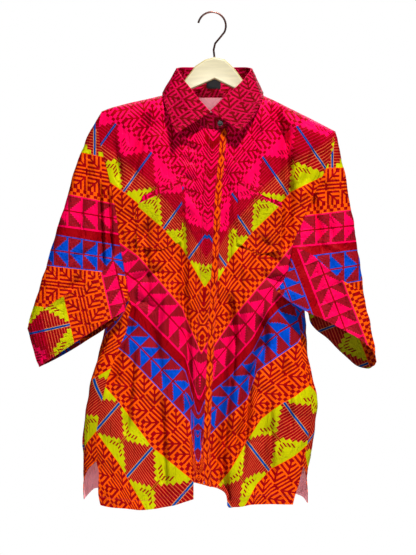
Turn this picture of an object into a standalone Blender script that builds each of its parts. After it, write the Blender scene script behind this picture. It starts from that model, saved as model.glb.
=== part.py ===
# A button-down shirt with wide sleeves on a wooden hanger, hung by its wire hook.
# The frame: X to the right as seen from the front, -Y to the front, +Z up, and the
# origin under the crown of the hook, where it hangs. All sizes below are millimetres.
import math

import bpy
import numpy as np

MM = 0.001
WALL = 1.4            # the cloth of one layer
SEAM = 0.35           # the gap between two pieces at a seam
RIDGE_ROUND = 30.0    # how far below the shoulder ridge the cloth turns down
STAND_WALL = 1.8      # the stiffened collar stand
LEAF_WALL = 2.0       # the stiffened collar leaf
PLACKET_WALL = 2.6    # the placket, two layers
PLACKET_OUT = 0.6     # how far the middle of the placket stands out from the front
UNDERLAP_IN = 2.3     # how far the right front lies under the placket
UNDERLAP_EASE = 20.0  # the width over which the right front comes out from under it
LYING_OUT = 1.9       # from the middle of a panel to the middle of a pocket on it
WOOD_THICK = 11.0     # the hanger's wood, from front to back
WOOD_BEVEL = 3.5
ARM_TALL = 23.0
UNDER_RIDGE = 1.5     # from the middle of the shoulder cloth down to the wood
UNDER_RIDGE_AT_ENDS = 2.6  # how much lower the wood lies at the arms' ends
WIRE_RADIUS = 1.9
BUTTON_RADIUS = 5.5
BUTTON_THICK = 2.4

CLOTH_RED = (0.62, 0.02, 0.05, 1)
CLOTH_PINK = (1.0, 0.0, 0.12, 1)
CLOTH_ORANGE = (1.0, 0.15, 0.0, 1)
WOOD_CREAM = (0.80, 0.72, 0.46, 1)
WIRE_COPPER = (0.28, 0.13, 0.11, 1)
LABEL_BLACK = (0.01, 0.01, 0.012, 1)
BUTTON_DARK = (0.05, 0.01, 0.015, 1)


def table(names, *rows):
    """A table's columns by their names."""
    return dict(zip(names.split(), np.array(rows, float).T))


def read(rows, name, at, by="z"):
    """A column's value at a height, or at another column's value."""
    order = np.argsort(rows[by])
    return np.interp(at, rows[by][order], rows[name][order])


# The body's outline from the front and its depth. Above -560 the sleeves hide the outline.
SIDES = table(
    "z left right front back",
    (-120, -229, 250, 38, 38),
    (-188, -229, 250, 38, 36),
    (-226, -238, 246, 40, 35),
    (-260, -244, 242, 42, 35),
    (-327, -226, 216, 44, 36),
    (-384, -217, 197, 45, 37),
    (-454, -210, 178, 44, 37),
    (-526, -203, 171, 43, 37),
    (-568, -202, 172, 43, 38),
    (-602, -204, 176, 43, 38),
    (-631, -213, 175, 44, 39),
    (-659, -221, 178, 44, 39),
    (-694, -231, 188, 45, 40),
    (-733, -238, 199, 46, 41),
    (-765, -242, 195, 46, 41),
    (-796, -246, 189, 46, 41),
    (-830, -247, 185, 46, 42),
    (-882, -247, 177, 47, 43),
    (-940, -247, 180, 48, 44),
)
# The shoulder ridge, drawn on across the neck.
RIDGE = table(
    "x z",
    (-240, -200), (-212, -188), (-198, -182), (-161, -172), (-124, -164), (-95, -157),
    (-79, -153), (-40, -139), (0, -128), (40, -134), (79, -152), (95, -158), (111, -165),
    (143, -181), (187, -203), (231, -226), (262, -243),
)
# The neckline: its height on the front and on the back.
NECKLINE = table(
    "x front back",
    (-79, -153, -153), (-72, -166, -157), (-58, -186, -159), (-38, -206, -160),
    (-12, -222, -160), (10, -224, -160), (26, -219, -160), (44, -204, -160),
    (62, -182, -158), (73, -163, -156), (79, -152, -152),
)
# The placket's two edges.
PLACKET = table(
    "z left right",
    (-215, -9, 26), (-355, -20, 14), (-498, -26, 8), (-650, -34, 0), (-811, -41, -7),
    (-895, -38, -5), (-925, -38, -5),
)
NECK_FRONT = -222.0     # the neckline's height at the front's centre
PLACKET_HEM = table("x z", (-38, -889), (-24, -892), (-5, -898))

# The armholes. face is -1 on the front of the body and 1 on the back.
ARMHOLE_COLUMNS = "x z face"
LEFT_ARMHOLE_FRONT = table(
    ARMHOLE_COLUMNS,
    (-212, -188, -1), (-217, -213, -1), (-216, -239, -1), (-205, -276, -1),
    (-197, -321, -1), (-187, -365, -1), (-182, -397, -1), (-178, -435, -1),
    (-170, -479, -1), (-164, -521, -1), (-159, -545, -1),
)
LEFT_ARMHOLE_BACK = table(
    ARMHOLE_COLUMNS,
    (-212, -188, 1), (-216, -239, 1), (-210, -276, 1), (-205, -321, 1), (-201, -365, 1),
    (-200, -405, 1), (-204, -440, 1), (-206, -470, -1), (-196, -505, -1),
    (-178, -530, -1), (-159, -545, -1),
)
RIGHT_ARMHOLE_FRONT = table(
    ARMHOLE_COLUMNS,
    (231, -226, -1), (227, -258, -1), (213, -294, -1), (199, -327, -1), (183, -357, -1),
    (176, -384, -1), (159, -412, -1), (147, -454, -1), (142, -492, -1), (142, -526, -1),
)
RIGHT_ARMHOLE_BACK = table(
    ARMHOLE_COLUMNS,
    (231, -226, 1), (227, -258, 1), (213, -294, 1), (199, -327, 1), (188, -357, 1),
    (180, -390, 1), (174, -420, 1), (173, -452, 1), (172, -475, -1), (161, -505, -1),
    (142, -526, -1),
)
# The side seams, from the armpit to the top of the slit. Both lie on the front.
SEAM_COLUMNS = "x z"
LEFT_SEAM = table(
    SEAM_COLUMNS,
    (-159, -545), (-162, -591), (-183, -644), (-205, -709), (-219, -773), (-222, -849),
)
RIGHT_SEAM = table(
    SEAM_COLUMNS,
    (142, -526), (156, -568), (165, -602), (166, -631), (174, -682), (185, -728),
    (181, -796), (171, -856),
)
# The slits' edges, down to the hem.
LEFT_SLIT_FRONT = table(
    ARMHOLE_COLUMNS,
    (-222, -849, -1), (-217, -866, -1), (-218, -927, -1), (-214, -933, -1),
)
RIGHT_SLIT_FRONT = table(
    ARMHOLE_COLUMNS,
    (171, -856, -1), (163, -888, -1), (155, -912, -1), (150, -932, -1),
)
LEFT_SLIT_BACK = table(
    ARMHOLE_COLUMNS,
    (-222, -849, -1), (-240, -868, -1), (-246.5, -890, -1), (-246, -923, 1),
)
RIGHT_SLIT_BACK = table(
    ARMHOLE_COLUMNS,
    (171, -856, -1), (176, -878, -1), (178, -900, -1), (178.5, -930, 1),
)
# The hems.
HEM_COLUMNS = "x z"
LEFT_HEM = table(
    HEM_COLUMNS,
    (-214, -933), (-197, -937), (-166, -939), (-139, -942), (-113, -940), (-75, -933), (-38, -921),
)
RIGHT_HEM = table(
    HEM_COLUMNS,
    (-30, -891), (-5, -897), (12, -902), (25, -912), (27, -936), (50, -936), (72, -931),
    (107, -931), (150, -932),
)
BACK_HEM = table(
    HEM_COLUMNS,
    (-246, -923), (-229, -903), (-218, -904), (-178, -904), (-83, -895), (0, -889),
    (88, -897), (154, -913), (170, -919), (178.5, -930),
)
# The largest folds, as troughs pressed into the body. One row for each point of a fold,
# and the rows of one fold share its number.
FOLDS = table(
    "fold face x z depth width",
    (1, -1, -121, -186, 5, 15), (1, -1, -157, -317, 5, 15),
    (2, -1, 116, -172, 9, 12), (2, -1, 138, -232, 10, 11), (2, -1, 146, -340, 9, 12),
    (2, -1, 140, -452, 6, 12),
    (3, -1, 35, -545, 9, 14), (3, -1, 43, -621, 10, 14), (3, -1, 16, -844, 12, 12),
    (3, -1, 28, -925, 12, 12),
    (4, -1, 98, -583, 7, 13), (4, -1, 98, -638, 8, 12), (4, -1, 70, -690, 8, 12),
    (4, -1, 56, -849, 6, 12),
    (5, -1, -150, -560, 7, 12), (5, -1, -162, -600, 8, 11), (5, -1, -196, -709, 6, 11),
    (6, -1, -62, -470, 4, 12), (6, -1, -60, -551, 5, 11), (6, -1, -49, -697, 5, 11),
    (6, -1, -43, -800, 4, 12),
    (7, -1, -116, -700, 5, 20), (7, -1, -100, -930, 8, 20),
    (8, -1, 112, -760, 6, 18), (8, -1, 110, -930, 8, 18),
    (9, 1, -60, -300, 5, 22), (9, 1, -92, -620, 8, 22), (9, 1, -80, -900, 10, 20),
    (10, 1, 66, -330, 5, 20), (10, 1, 58, -600, 8, 22), (10, 1, 84, -900, 10, 20),
    (11, 1, -160, -560, 5, 16), (11, 1, -172, -900, 9, 18),
)
FOLD_FADE = 45.0        # the length over which a fold runs out
THIN = 6.0              # no fold is pressed in where the body is this thin or thinner
FOLD_ROOM = 20.0        # and it has its full depth where the body is this much deeper
FOLD_TO_HEM = -880.0    # a fold that ends below this height runs on to the hem

# The shares along an armhole at which it is cut into rows, close under the shoulder.
ARM_ROWS = np.array([0, 0.013, 0.03, 0.055, 0.09, 0.15, 0.23, 0.33, 0.44, 0.56, 0.69, 0.80, 0.90, 1.0])
SEAM_ROWS = np.linspace(0, 1, 11)[1:]
SLIT_ROWS = np.linspace(0, 1, 5)[1:]
CENTRE_RATE = 0.85      # the rows' spacing at the front's centre, as a share of that at the armhole
TURN_SCALE = 150.0      # one radian of turn counts as this many millimetres of an edge
SHOULDER_ENDS = dict(left=-212.0, right=231.0)
ARMHOLE_DROPS = dict(left=357.0, right=300.0)  # from the shoulder's end down to the armpit
UNDERLAP = 8.0          # how far the right front runs on under the placket
SHOULDER_PARTS = 7
NECK_PARTS = 8          # columns across a front from the neck point to the placket

# The sleeves. share runs from the outer fold, 0, to the underarm, 1. The seam ring is where
# the turned band is sewn on, and the hem ring is the band's edge.
RING_COLUMNS = "share x_front y_front z_front x_back y_back z_back"
LEFT_BAND_SEAM = table(
    RING_COLUMNS,
    (0.00, -353, 0, -600, -353, 0, -600),
    (0.03, -347, -9, -592, -347, 9, -592),
    (0.09, -333, -17, -575, -333, 17, -575),
    (0.20, -302, -24, -548, -302, 22, -550),
    (0.40, -252, -28, -522, -252, 25, -524),
    (0.58, -212, -30, -495, -222, 24, -508),
    (0.72, -188, -31, -464, -214, 16, -498),
    (0.84, -183, -34, -486, -212, -2, -505),
    (0.92, -176, -37, -520, -199, -20, -525),
    (1.00, -166, -37, -551, -166, -37, -551),
)
LEFT_BAND_HEM = table(
    RING_COLUMNS,
    (0.00, -331, 0, -672, -331, 0, -672),
    (0.03, -326, -9, -668, -327, 9, -670),
    (0.09, -316, -17, -661, -316, 17, -665),
    (0.20, -296, -24, -648, -296, 22, -655),
    (0.40, -262, -30, -625, -263, 20, -636),
    (0.58, -232, -34, -606, -234, 10, -617),
    (0.74, -207, -38, -590, -211, -8, -603),
    (0.88, -184, -41, -575, -189, -26, -586),
    (1.00, -167, -41, -564, -167, -41, -564),
)
RIGHT_BAND_SEAM = table(
    RING_COLUMNS,
    (0.00, 284, 0, -530, 284, 0, -530),
    (0.03, 279, -9, -528, 279, 9, -529),
    (0.09, 268, -17, -521, 268, 17, -524),
    (0.20, 246, -24, -509, 247, 22, -514),
    (0.40, 212, -30, -482, 220, 25, -504),
    (0.58, 186, -35, -459, 200, 25, -500),
    (0.70, 163, -39, -449, 189, 22, -502),
    (0.80, 149, -41, -455, 184, 10, -508),
    (0.90, 147, -37, -494, 177, -12, -519),
    (1.00, 149, -36, -535, 149, -36, -535),
)
RIGHT_BAND_HEM = table(
    RING_COLUMNS,
    (0.00, 309, 0, -662, 309, 0, -662),
    (0.03, 306, -9, -648, 306, 9, -669),
    (0.09, 296, -18, -634, 297, 17, -675),
    (0.20, 276, -24, -618, 277, 22, -674),
    (0.40, 238, -31, -597, 243, 28, -645),
    (0.58, 203, -38, -579, 214, 32, -615),
    (0.72, 172, -43, -561, 193, 30, -600),
    (0.80, 150, -44, -535, 186, 16, -590),
    (0.88, 132, -42, -512, 182, -4, -572),
    (0.94, 145, -37, -524, 172, -24, -556),
    (1.00, 153, -37, -545, 153, -37, -545),
)
# How far the outer fold bows out of the straight line from the shoulder to the band.
SLEEVE_BOW = table(
    "share left right",
    (0, 0, 0), (0.08, 9, 1), (0.18, 13, 3), (0.4, 9, 4), (0.7, 5, 4), (1, 0, 0),
)
CLEAR_AT_ARMPIT = 1.8   # how far the sleeve starts from the panels near the armpit
CLEAR_OF_SIDE = 3.2     # the least from the body's side to a sleeve that hangs by it
CLEAR_BELOW = -475.0    # below this height the sleeve hangs by the body's side
UNDERARM_APART = dict(sleeve=0.5, band=0.8)  # the band seam's wider gap at the underarm
SLEEVE_PARTS = 8
BAND_PARTS = 4

# The collar's rings by the turn around the neck: 0 at the back's centre, 90 at a shoulder
# and 180 at the front's centre, negative on the left. The leaf folds along the first.
COLLAR_FOLD = table(
    "turn z",
    (-180, -194), (-172, -191), (-150, -162), (-135, -143), (-110, -120), (-92, -108),
    (-60, -105), (0, -104), (60, -105), (92, -109), (112, -119), (128, -132), (145, -147),
    (160, -160), (173, -176), (184, -189),
)
FOLD_HALF_WIDTH = 70.0
FOLD_MIDDLE = 1.5
FOLD_FRONT = 45.0
FOLD_BACK = 41.0
NECK_HALF_WIDTH = 79.0
# The leaf's free edge: lift is how far it stands off the body.
LEAF_EDGE = table(
    "turn face x z lift",
    (-172, -1, -70, -230, 13), (-158, -1, -76, -217, 11), (-140, -1, -83, -198, 8),
    (-118, -1, -91, -176, 6), (-101, -1, -96, -161, 5), (-88, 1, -95, -152, 5),
    (-70, 1, -84, -160, 6), (-45, 1, -58, -168, 5), (0, 1, 0, -171, 5), (45, 1, 58, -168, 5),
    (70, 1, 84, -162, 6), (88, 1, 94, -152, 5), (101, -1, 93, -163, 5), (118, -1, 87, -178, 6),
    (140, -1, 75, -198, 8), (160, -1, 62, -213, 11), (184, -1, 51, -225, 13),
)
LEFT_END_TURN = -172.0
RIGHT_END_TURN = 184.0
STAND_LEFT_TURN = -198.0   # the stand's left end laps over the right one
STAND_RIGHT_TURN = 172.0
STAND_LAP = 3.0            # how far the right end lies behind the left one
LAP_TOP = -193.0           # the top of the left end past the front's centre
STAND_UP = 0.8             # the stand's foot above the neckline, and more at the neck's sides
STAND_UP_MORE = 0.6
LEAF_OFF_STAND = 2.5
LEAF_OVER_STAND = 2.1      # the leaf's middle above the stand's top
RIDGE_LIFT = 4.0           # how far the leaf's edge lies above the shoulder ridge

# The pockets by their corners: top outer, top inner, bottom inner, point, bottom outer.
POCKET_COLUMNS = "x z"
LEFT_POCKET = table(
    POCKET_COLUMNS,
    (-147, -355), (-60, -315), (-60, -433), (-102, -450), (-144, -443),
)
RIGHT_POCKET = table(
    POCKET_COLUMNS,
    (128, -361), (47, -316), (45, -437), (86, -458), (127, -450),
)
POCKET_PARTS = 6

LABEL = dict(left=-13.0, right=13.0, top=-124.0, bottom=-142.0, thick=0.8)
BUTTON_PLACE = dict(turn=171.0, height=0.42)

# The hanger's wood: the outline of its dome and the notch under it.
DOME = table(
    "x z",
    (-72, -152.8), (-56, -129), (-43, -112), (-35, -101), (-16, -88.5), (2, -84),
    (22, -88.5), (35, -101), (45, -112), (58, -131), (72, -152.4),
)
NOTCH = table("x z", (-48, -148), (2, -126), (47, -148))
ARM_ENDS = dict(left=-200.0, right=219.0)
ARM_END_ROUND = 3.5
# The hook's wire, from its open end over the crown and down to the wood.
HOOK_CROWN = dict(x=-3.0, z=-24.5, radius=26.4, start=168.0, end=-28.0)
HOOK_TAIL = table("x z", (13, -46), (3, -58), (0.2, -70), (1.6, -83.6))


def round_over(drop):
    """The quarter round by which the cloth leaves the shoulder ridge."""
    near = np.clip(drop / RIDGE_ROUND, 0, 1)
    return np.sqrt(1 - (1 - near) ** 2)


def to_line(x, z, ax, az, bx, bz):
    """The distance to a straight stretch and the share along it."""
    dx, dz = bx - ax, bz - az
    share = np.clip(((x - ax) * dx + (z - az) * dz) / (dx * dx + dz * dz), 0, 1)
    return np.hypot(x - ax - share * dx, z - az - share * dz), share


def pressed_in(x, z, face):
    """How far the folds press the cloth in at a point of one face."""
    total = np.zeros(np.broadcast(x, z).shape)
    for number in np.unique(FOLDS["fold"]):
        rows = np.flatnonzero(FOLDS["fold"] == number)
        deepest = np.zeros_like(total)
        length = np.hypot(np.diff(FOLDS["x"][rows]), np.diff(FOLDS["z"][rows]))
        start = np.concatenate([[0], np.cumsum(length)])
        for k, (a, b) in enumerate(zip(rows[:-1], rows[1:])):
            far, share = to_line(x, z, FOLDS["x"][a], FOLDS["z"][a], FOLDS["x"][b], FOLDS["z"][b])
            depth = FOLDS["depth"][a] * (1 - share) + FOLDS["depth"][b] * share
            width = FOLDS["width"][a] * (1 - share) + FOLDS["width"][b] * share
            place = start[k] + share * length[k]
            fade = np.clip(np.minimum(place, start[-1] - place) / FOLD_FADE, 0, 1)
            if FOLDS["z"][rows[-1]] < FOLD_TO_HEM:
                fade = np.clip(place / FOLD_FADE, 0, 1)
            deepest = np.maximum(deepest, depth * fade * np.exp(-((far / width) ** 2)))
        total += np.where(face == FOLDS["face"][rows[0]], deepest, 0)
    return total


def turn_at(x, z, face):
    """The turn around the body of a point on its front (-1) or back (1)."""
    left, right = read(SIDES, "left", z), read(SIDES, "right", z)
    across = np.clip((x - (left + right) / 2) / ((right - left) / 2), -1, 1)
    turn = np.arccos(across)
    return np.where(np.asarray(face) < 0, turn, 2 * math.pi - turn)


def body(turn, z):
    """The middle of the body's cloth at a turn and a height."""
    left, right = read(SIDES, "left", z), read(SIDES, "right", z)
    x = (left + right) / 2 + (right - left) / 2 * np.cos(turn)
    face = np.where(np.sin(turn) >= 0, -1, 1)
    depth = np.where(face < 0, read(SIDES, "front", z), read(SIDES, "back", z))
    swell = np.sqrt(np.clip(1 - np.abs(np.cos(turn)) ** 3, 0, 1))
    over = round_over(read(RIDGE, "z", x, "x") - z)
    deep = depth * swell * over
    room = np.clip((deep - THIN) / FOLD_ROOM, 0, 1)
    deep = deep - pressed_in(x, z, face) * room
    y = face * (deep + SEAM / 2 * (1 - over))
    return np.stack([x, y, z], -1)


def on_body(x, z, face):
    """The middle of the body's cloth at a place seen from the front."""
    return body(turn_at(x, z, face), np.broadcast_to(z, np.shape(x)).astype(float))


def walk(points, shares):
    """Points at shares of a line's length."""
    points = np.asarray(points, float)
    length = np.concatenate([[0], np.cumsum(np.linalg.norm(np.diff(points, axis=0), axis=1))])
    at = np.asarray(shares) * length[-1]
    return np.stack([np.interp(at, length, points[:, k]) for k in range(points.shape[1])], 1)


def edge(rows, shares, over_right=False):
    """An edge drawn on the body, as turns and heights at shares of its length. over_right says
    that it belongs to the back panel's right side, whose turns go on past the fold."""
    face = rows.get("face", -np.ones_like(rows["x"]))
    turn = turn_at(rows["x"], rows["z"], face)
    if over_right:
        turn = np.where(face < 0, turn + 2 * math.pi, turn)
    line = walk(np.stack([turn * TURN_SCALE, rows["z"]], 1), shares)
    return line / (TURN_SCALE, 1)


def side_edge(armhole, seam, slit, over_right=False):
    """A panel's side: the armhole, the side seam and the slit."""
    return np.concatenate([
        edge(armhole, ARM_ROWS, over_right),
        edge(seam, SEAM_ROWS, over_right),
        edge(slit, SLIT_ROWS, over_right),
    ])


def top_edge(x, face):
    """The top of a panel at some places: the shoulder ridge, or the neckline between the necks."""
    neck = np.abs(x) < NECK_HALF_WIDTH
    name = "front" if face < 0 else "back"
    z = np.where(neck, read(NECKLINE, name, x, "x"), read(RIDGE, "z", x, "x"))
    return np.stack([turn_at(x, z, face), z], 1)


def hem_edge(rows, face, parts):
    line = walk(np.stack([rows["x"], rows["z"]], 1), np.linspace(0, 1, parts + 1))
    faces = np.full(len(line), face)
    return np.stack([turn_at(line[:, 0], line[:, 1], faces), line[:, 1]], 1)


def row_shares(side):
    """The share down a panel of each of its rows, by the heights of its side edge."""
    return (side[:, 1] - side[0, 1]) / (side[-1, 1] - side[0, 1])


def spanned(left, right, top, bottom, down):
    """A grid between four edges, blended from them."""
    s = np.linspace(0, 1, len(top))[None, :, None]
    t = down[:, None, None]
    sides = (1 - s) * left[:, None] + s * right[:, None]
    ends = (1 - t) * top[None] + t * bottom[None]
    corners = (1 - t) * ((1 - s) * top[0] + s * top[-1]) + t * ((1 - s) * bottom[0] + s * bottom[-1])
    return sides + ends - corners


def centre_edge(x_of, top_z, bottom_z, armhole_drop):
    """The rows' places down the front's centre: spaced as at the armhole, then evenly."""
    upper = top_z - CENTRE_RATE * armhole_drop * ARM_ROWS
    lower = np.linspace(upper[-1], bottom_z, len(SEAM_ROWS) + len(SLIT_ROWS) + 1)[1:]
    z = np.concatenate([upper, lower])
    return np.stack([turn_at(x_of(z), z, -1), z], 1)


def normals_of(grid, closed=False):
    """The cloth's outward normals at the points of a grid."""
    if closed:
        wide = np.concatenate([grid[:, -1:], grid, grid[:, :1]], 1)
        across = np.gradient(wide, axis=1)[:, 1:-1]
    else:
        across = np.gradient(grid, axis=1)
    down = np.gradient(grid, axis=0)
    normal = np.cross(across, down)
    normal /= np.maximum(np.linalg.norm(normal, axis=2, keepdims=True), 1e-9)
    middle = grid.mean(1, keepdims=True) if closed else np.array([0.0, 0.0, 1.0]) * grid
    if (normal * (grid - middle)).sum() < 0:
        normal = -normal
    return normal


def pull_in(grid, side, distance):
    """Moves one edge of a grid back from a seam."""
    edges = dict(right=((slice(None), -1), (slice(None), -2)), top=(0, 1), bottom=(-1, -2))
    this, that = edges[side]
    way = grid[that] - grid[this]
    grid[this] += distance * way / np.linalg.norm(way, axis=-1, keepdims=True)


def add_mesh(name, points, faces, colour, roughness=0.6, metallic=0.0):
    mesh = bpy.data.meshes.new(name)
    mesh.from_pydata([tuple(p) for p in np.asarray(points) * MM], [], faces)
    mesh.validate()
    piece = bpy.data.objects.new(name, mesh)
    bpy.context.scene.collection.objects.link(piece)
    finish = bpy.data.materials.new(name + "_finish")
    finish.use_nodes = True
    shader = finish.node_tree.nodes["Principled BSDF"]
    shader.inputs["Base Color"].default_value = colour
    shader.inputs["Roughness"].default_value = roughness
    shader.inputs["Metallic"].default_value = metallic
    mesh.materials.append(finish)
    mesh.shade_smooth()
    mesh.set_sharp_from_angle(angle=math.radians(40))
    return piece


def add_cloth(name, grid, normal, wall, colour, closed=False):
    """A wall of cloth around a grid of its middle points, closed at its edges. A closed grid
    is a tube, whose columns run round it."""
    rows, columns = grid.shape[:2]
    outer = (grid + normal * wall / 2).reshape(-1, 3)
    inner = (grid - normal * wall / 2).reshape(-1, 3)
    count = rows * columns
    last = columns if closed else columns - 1
    faces = []
    for j in range(rows - 1):
        for i in range(last):
            k = (i + 1) % columns
            a, b, c, d = j * columns + i, j * columns + k, (j + 1) * columns + k, (j + 1) * columns + i
            faces += [(a, b, c, d), (d + count, c + count, b + count, a + count)]
    for i in range(last):
        k = (i + 1) % columns
        foot = (rows - 1) * columns
        faces += [(k, i, i + count, k + count), (foot + i, foot + k, foot + k + count, foot + i + count)]
    if not closed:
        for j in range(rows - 1):
            a, b = j * columns, (j + 1) * columns
            c, d = a + columns - 1, b + columns - 1
            faces += [(a, b, b + count, a + count), (d, c, c + count, d + count)]
    low, high = outer[faces[0][0]], outer[faces[0][1]]
    facing = np.cross(high - low, outer[faces[0][2]] - low) @ normal.reshape(-1, 3)[faces[0][0]]
    if facing < 0:
        faces = [face[::-1] for face in faces]
    return add_mesh(name, np.concatenate([outer, inner]), faces, colour)


def upright_ridge(grid, normal, columns):
    """At the shoulder seam the two panels meet end to end, so their normals there point up."""
    along = np.gradient(grid[0], axis=0)[columns]
    up = np.stack([-along[:, 2], 0 * along[:, 0], along[:, 0]], 1)
    up *= np.sign(up[:, 2:])
    normal[0, columns] = up / np.linalg.norm(up, axis=1, keepdims=True)


def front_panel(name, side, colour):
    """A front, from its armhole and side seam to the placket. side is -1 for the left one."""
    parts = SHOULDER_PARTS + NECK_PARTS
    if side < 0:
        outer = side_edge(LEFT_ARMHOLE_FRONT, LEFT_SEAM, LEFT_SLIT_FRONT)
        end, hem, drop = SHOULDER_ENDS["left"], LEFT_HEM, ARMHOLE_DROPS["left"]
        centre_x = lambda z: read(PLACKET, "left", z)
    else:
        outer = side_edge(RIGHT_ARMHOLE_FRONT, RIGHT_SEAM, RIGHT_SLIT_FRONT)
        end, hem, drop = SHOULDER_ENDS["right"], RIGHT_HEM, ARMHOLE_DROPS["right"]
        centre_x = lambda z: read(PLACKET, "left", z) + UNDERLAP
    neck = side * NECK_HALF_WIDTH
    top_x = float(centre_x(NECK_FRONT))
    x = np.concatenate([
        np.linspace(end, neck, SHOULDER_PARTS + 1),
        neck + (top_x - neck) * np.sin(np.linspace(0, math.pi / 2, NECK_PARTS + 1)[1:]) ** 1.3,
    ])
    x[SHOULDER_PARTS] = neck * 0.9999
    top = top_edge(x, -1)
    centre = centre_edge(centre_x, top[-1, 1], hem["z"][-1 if side < 0 else 0], drop)
    hem_x, hem_z = (hem["x"], hem["z"]) if side < 0 else (hem["x"][::-1], hem["z"][::-1])
    bottom = hem_edge(dict(x=hem_x, z=hem_z), -1, parts)
    where = spanned(outer, centre, top, bottom, row_shares(outer))
    grid = body(where[..., 0], where[..., 1])
    if side > 0:
        past = grid[..., 0] - read(PLACKET, "right", grid[..., 2])
        ease = np.clip(1 - past / UNDERLAP_EASE, 0, 1)
        grid[..., 1] += UNDERLAP_IN * ease * ease * (3 - 2 * ease)
    else:
        pull_in(grid, "right", SEAM)
    below = len(ARM_ROWS) - 1
    way = grid[below:, 1] - grid[below:, 0]
    grid[below:, 0] += SEAM * way / np.linalg.norm(way, axis=1, keepdims=True)
    normal = normals_of(grid)
    if normal[10, 5, 1] > 0:
        normal = -normal
    upright_ridge(grid, normal, slice(0, SHOULDER_PARTS + 1))
    add_cloth(name, grid, normal, WALL, colour)
    return grid, normal


def back_panel():
    """The back, which comes round both side folds to the seams on the front."""
    left = side_edge(LEFT_ARMHOLE_BACK, LEFT_SEAM, LEFT_SLIT_BACK)
    right = side_edge(RIGHT_ARMHOLE_BACK, RIGHT_SEAM, RIGHT_SLIT_BACK, over_right=True)
    neck = NECK_HALF_WIDTH
    middle = -neck * np.cos(np.linspace(0, math.pi, 2 * NECK_PARTS + 1))
    x = np.concatenate([
        np.linspace(SHOULDER_ENDS["left"], -neck, SHOULDER_PARTS + 1)[:-1], middle * 0.9999,
        np.linspace(neck, SHOULDER_ENDS["right"], SHOULDER_PARTS + 1)[1:],
    ])
    top = top_edge(x, 1)
    bottom = hem_edge(BACK_HEM, 1, len(x) - 1)
    bottom[0], bottom[-1] = left[-1], right[-1]
    down = (row_shares(left) + row_shares(right)) / 2
    where = spanned(left, right, top, bottom, down)
    grid = body(where[..., 0], where[..., 1])
    normal = normals_of(grid)
    if normal[10, len(x) // 2, 1] < 0:
        normal = -normal
    upright_ridge(grid, normal, slice(0, SHOULDER_PARTS + 1))
    upright_ridge(grid, normal, slice(len(x) - 1 - SHOULDER_PARTS, len(x)))
    add_cloth("back", grid, normal, WALL, CLOTH_RED)
    return grid, normal


def ring_of(rows, shares):
    """A sleeve's ring at shares from the outer fold to the underarm and back."""
    sides = []
    for face in ("front", "back"):
        sides.append(np.stack([read(rows, axis + "_" + face, shares, "share") for axis in "xyz"], 1))
    return np.concatenate([sides[0], sides[1][-2:0:-1]])


def clear_of_body(grid, side):
    """Moves a sleeve's points out of the body's side, away from the middle of its fold."""
    x, y, z = grid[..., 0], grid[..., 1], grid[..., 2]
    left, right = read(SIDES, "left", z), read(SIDES, "right", z)
    middle, half = (left + right) / 2, (right - left) / 2 + CLEAR_OF_SIDE
    depth = np.where(y < 0, read(SIDES, "front", z), read(SIDES, "back", z)) + CLEAR_OF_SIDE
    hub = (left if side < 0 else right) - side * 45.0
    way = np.stack([x - hub, y, 0 * z], -1)
    way /= np.maximum(np.linalg.norm(way, axis=-1, keepdims=True), 1e-6)
    moved = grid.copy()
    for _ in range(60):
        inside = np.abs((moved[..., 0] - middle) / half) ** 3 + (moved[..., 1] / depth) ** 2 < 1
        inside &= z < CLEAR_BELOW
        moved[inside] += 0.5 * way[inside]
    return moved


def sleeve(name, side, front, back, colour):
    """A sleeve and its turned band, as one tube cut at the band's seam."""
    front_grid, front_normal = front
    back_grid, back_normal = back
    rows = len(ARM_ROWS)
    column = 0 if side < 0 else -1
    start = np.concatenate([front_grid[:rows, 0], back_grid[rows - 2:0:-1, column]])
    start_normal = np.concatenate([front_normal[:rows, 0], back_normal[rows - 2:0:-1, column]])
    start[0] = (front_grid[0, 0] + back_grid[0, column]) / 2
    inner = np.clip((np.concatenate([ARM_ROWS, ARM_ROWS[-2:0:-1]]) - 0.5) / 0.15, 0, 1)[:, None]
    start += inner * (side * CLEAR_AT_ARMPIT, -0.5 * CLEAR_AT_ARMPIT, 0)
    seam = ring_of(LEFT_BAND_SEAM if side < 0 else RIGHT_BAND_SEAM, ARM_ROWS)
    hem = ring_of(LEFT_BAND_HEM if side < 0 else RIGHT_BAND_HEM, ARM_ROWS)
    shares = np.linspace(0, 1, SLEEVE_PARTS + 1)
    upper = start + shares[:, None, None] * (seam - start)
    bow = read(SLEEVE_BOW, "left" if side < 0 else "right", shares, "share")
    fold_way = seam[0] - start[0]
    out = np.array([side * abs(fold_way[2]), 0, abs(fold_way[0])]) / np.hypot(fold_way[0], fold_way[2])
    near_fold = np.concatenate([(1 - ARM_ROWS) ** 2, (1 - ARM_ROWS[-2:0:-1]) ** 2])
    upper += bow[:, None, None] * near_fold[None, :, None] * out
    lower = seam + np.linspace(0, 1, BAND_PARTS + 1)[1:, None, None] * (hem - seam)
    grid = np.concatenate([upper, lower])
    grid[1:] = clear_of_body(grid[1:], side)
    normal = normals_of(grid, closed=True)
    normal[0] = normal[0] * inner + start_normal * (1 - inner)
    normal[0] /= np.linalg.norm(normal[0], axis=1, keepdims=True)
    normal[0, 0] = (front_normal[0, 0] + back_normal[0, column]) / 2
    sleeve_grid, band_grid = grid[:SLEEVE_PARTS + 1].copy(), grid[SLEEVE_PARTS:].copy()
    pull_in(sleeve_grid, "top", SEAM + 0.1)
    pull_in(sleeve_grid, "bottom", SEAM / 2 + UNDERARM_APART["sleeve"] * inner)
    pull_in(band_grid, "top", SEAM / 2 + UNDERARM_APART["band"] * inner)
    add_cloth("sleeve_" + name, sleeve_grid, normal[:SLEEVE_PARTS + 1], WALL, colour, closed=True)
    add_cloth("cuff_" + name, band_grid, normal[SLEEVE_PARTS:], WALL, CLOTH_ORANGE, closed=True)


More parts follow.
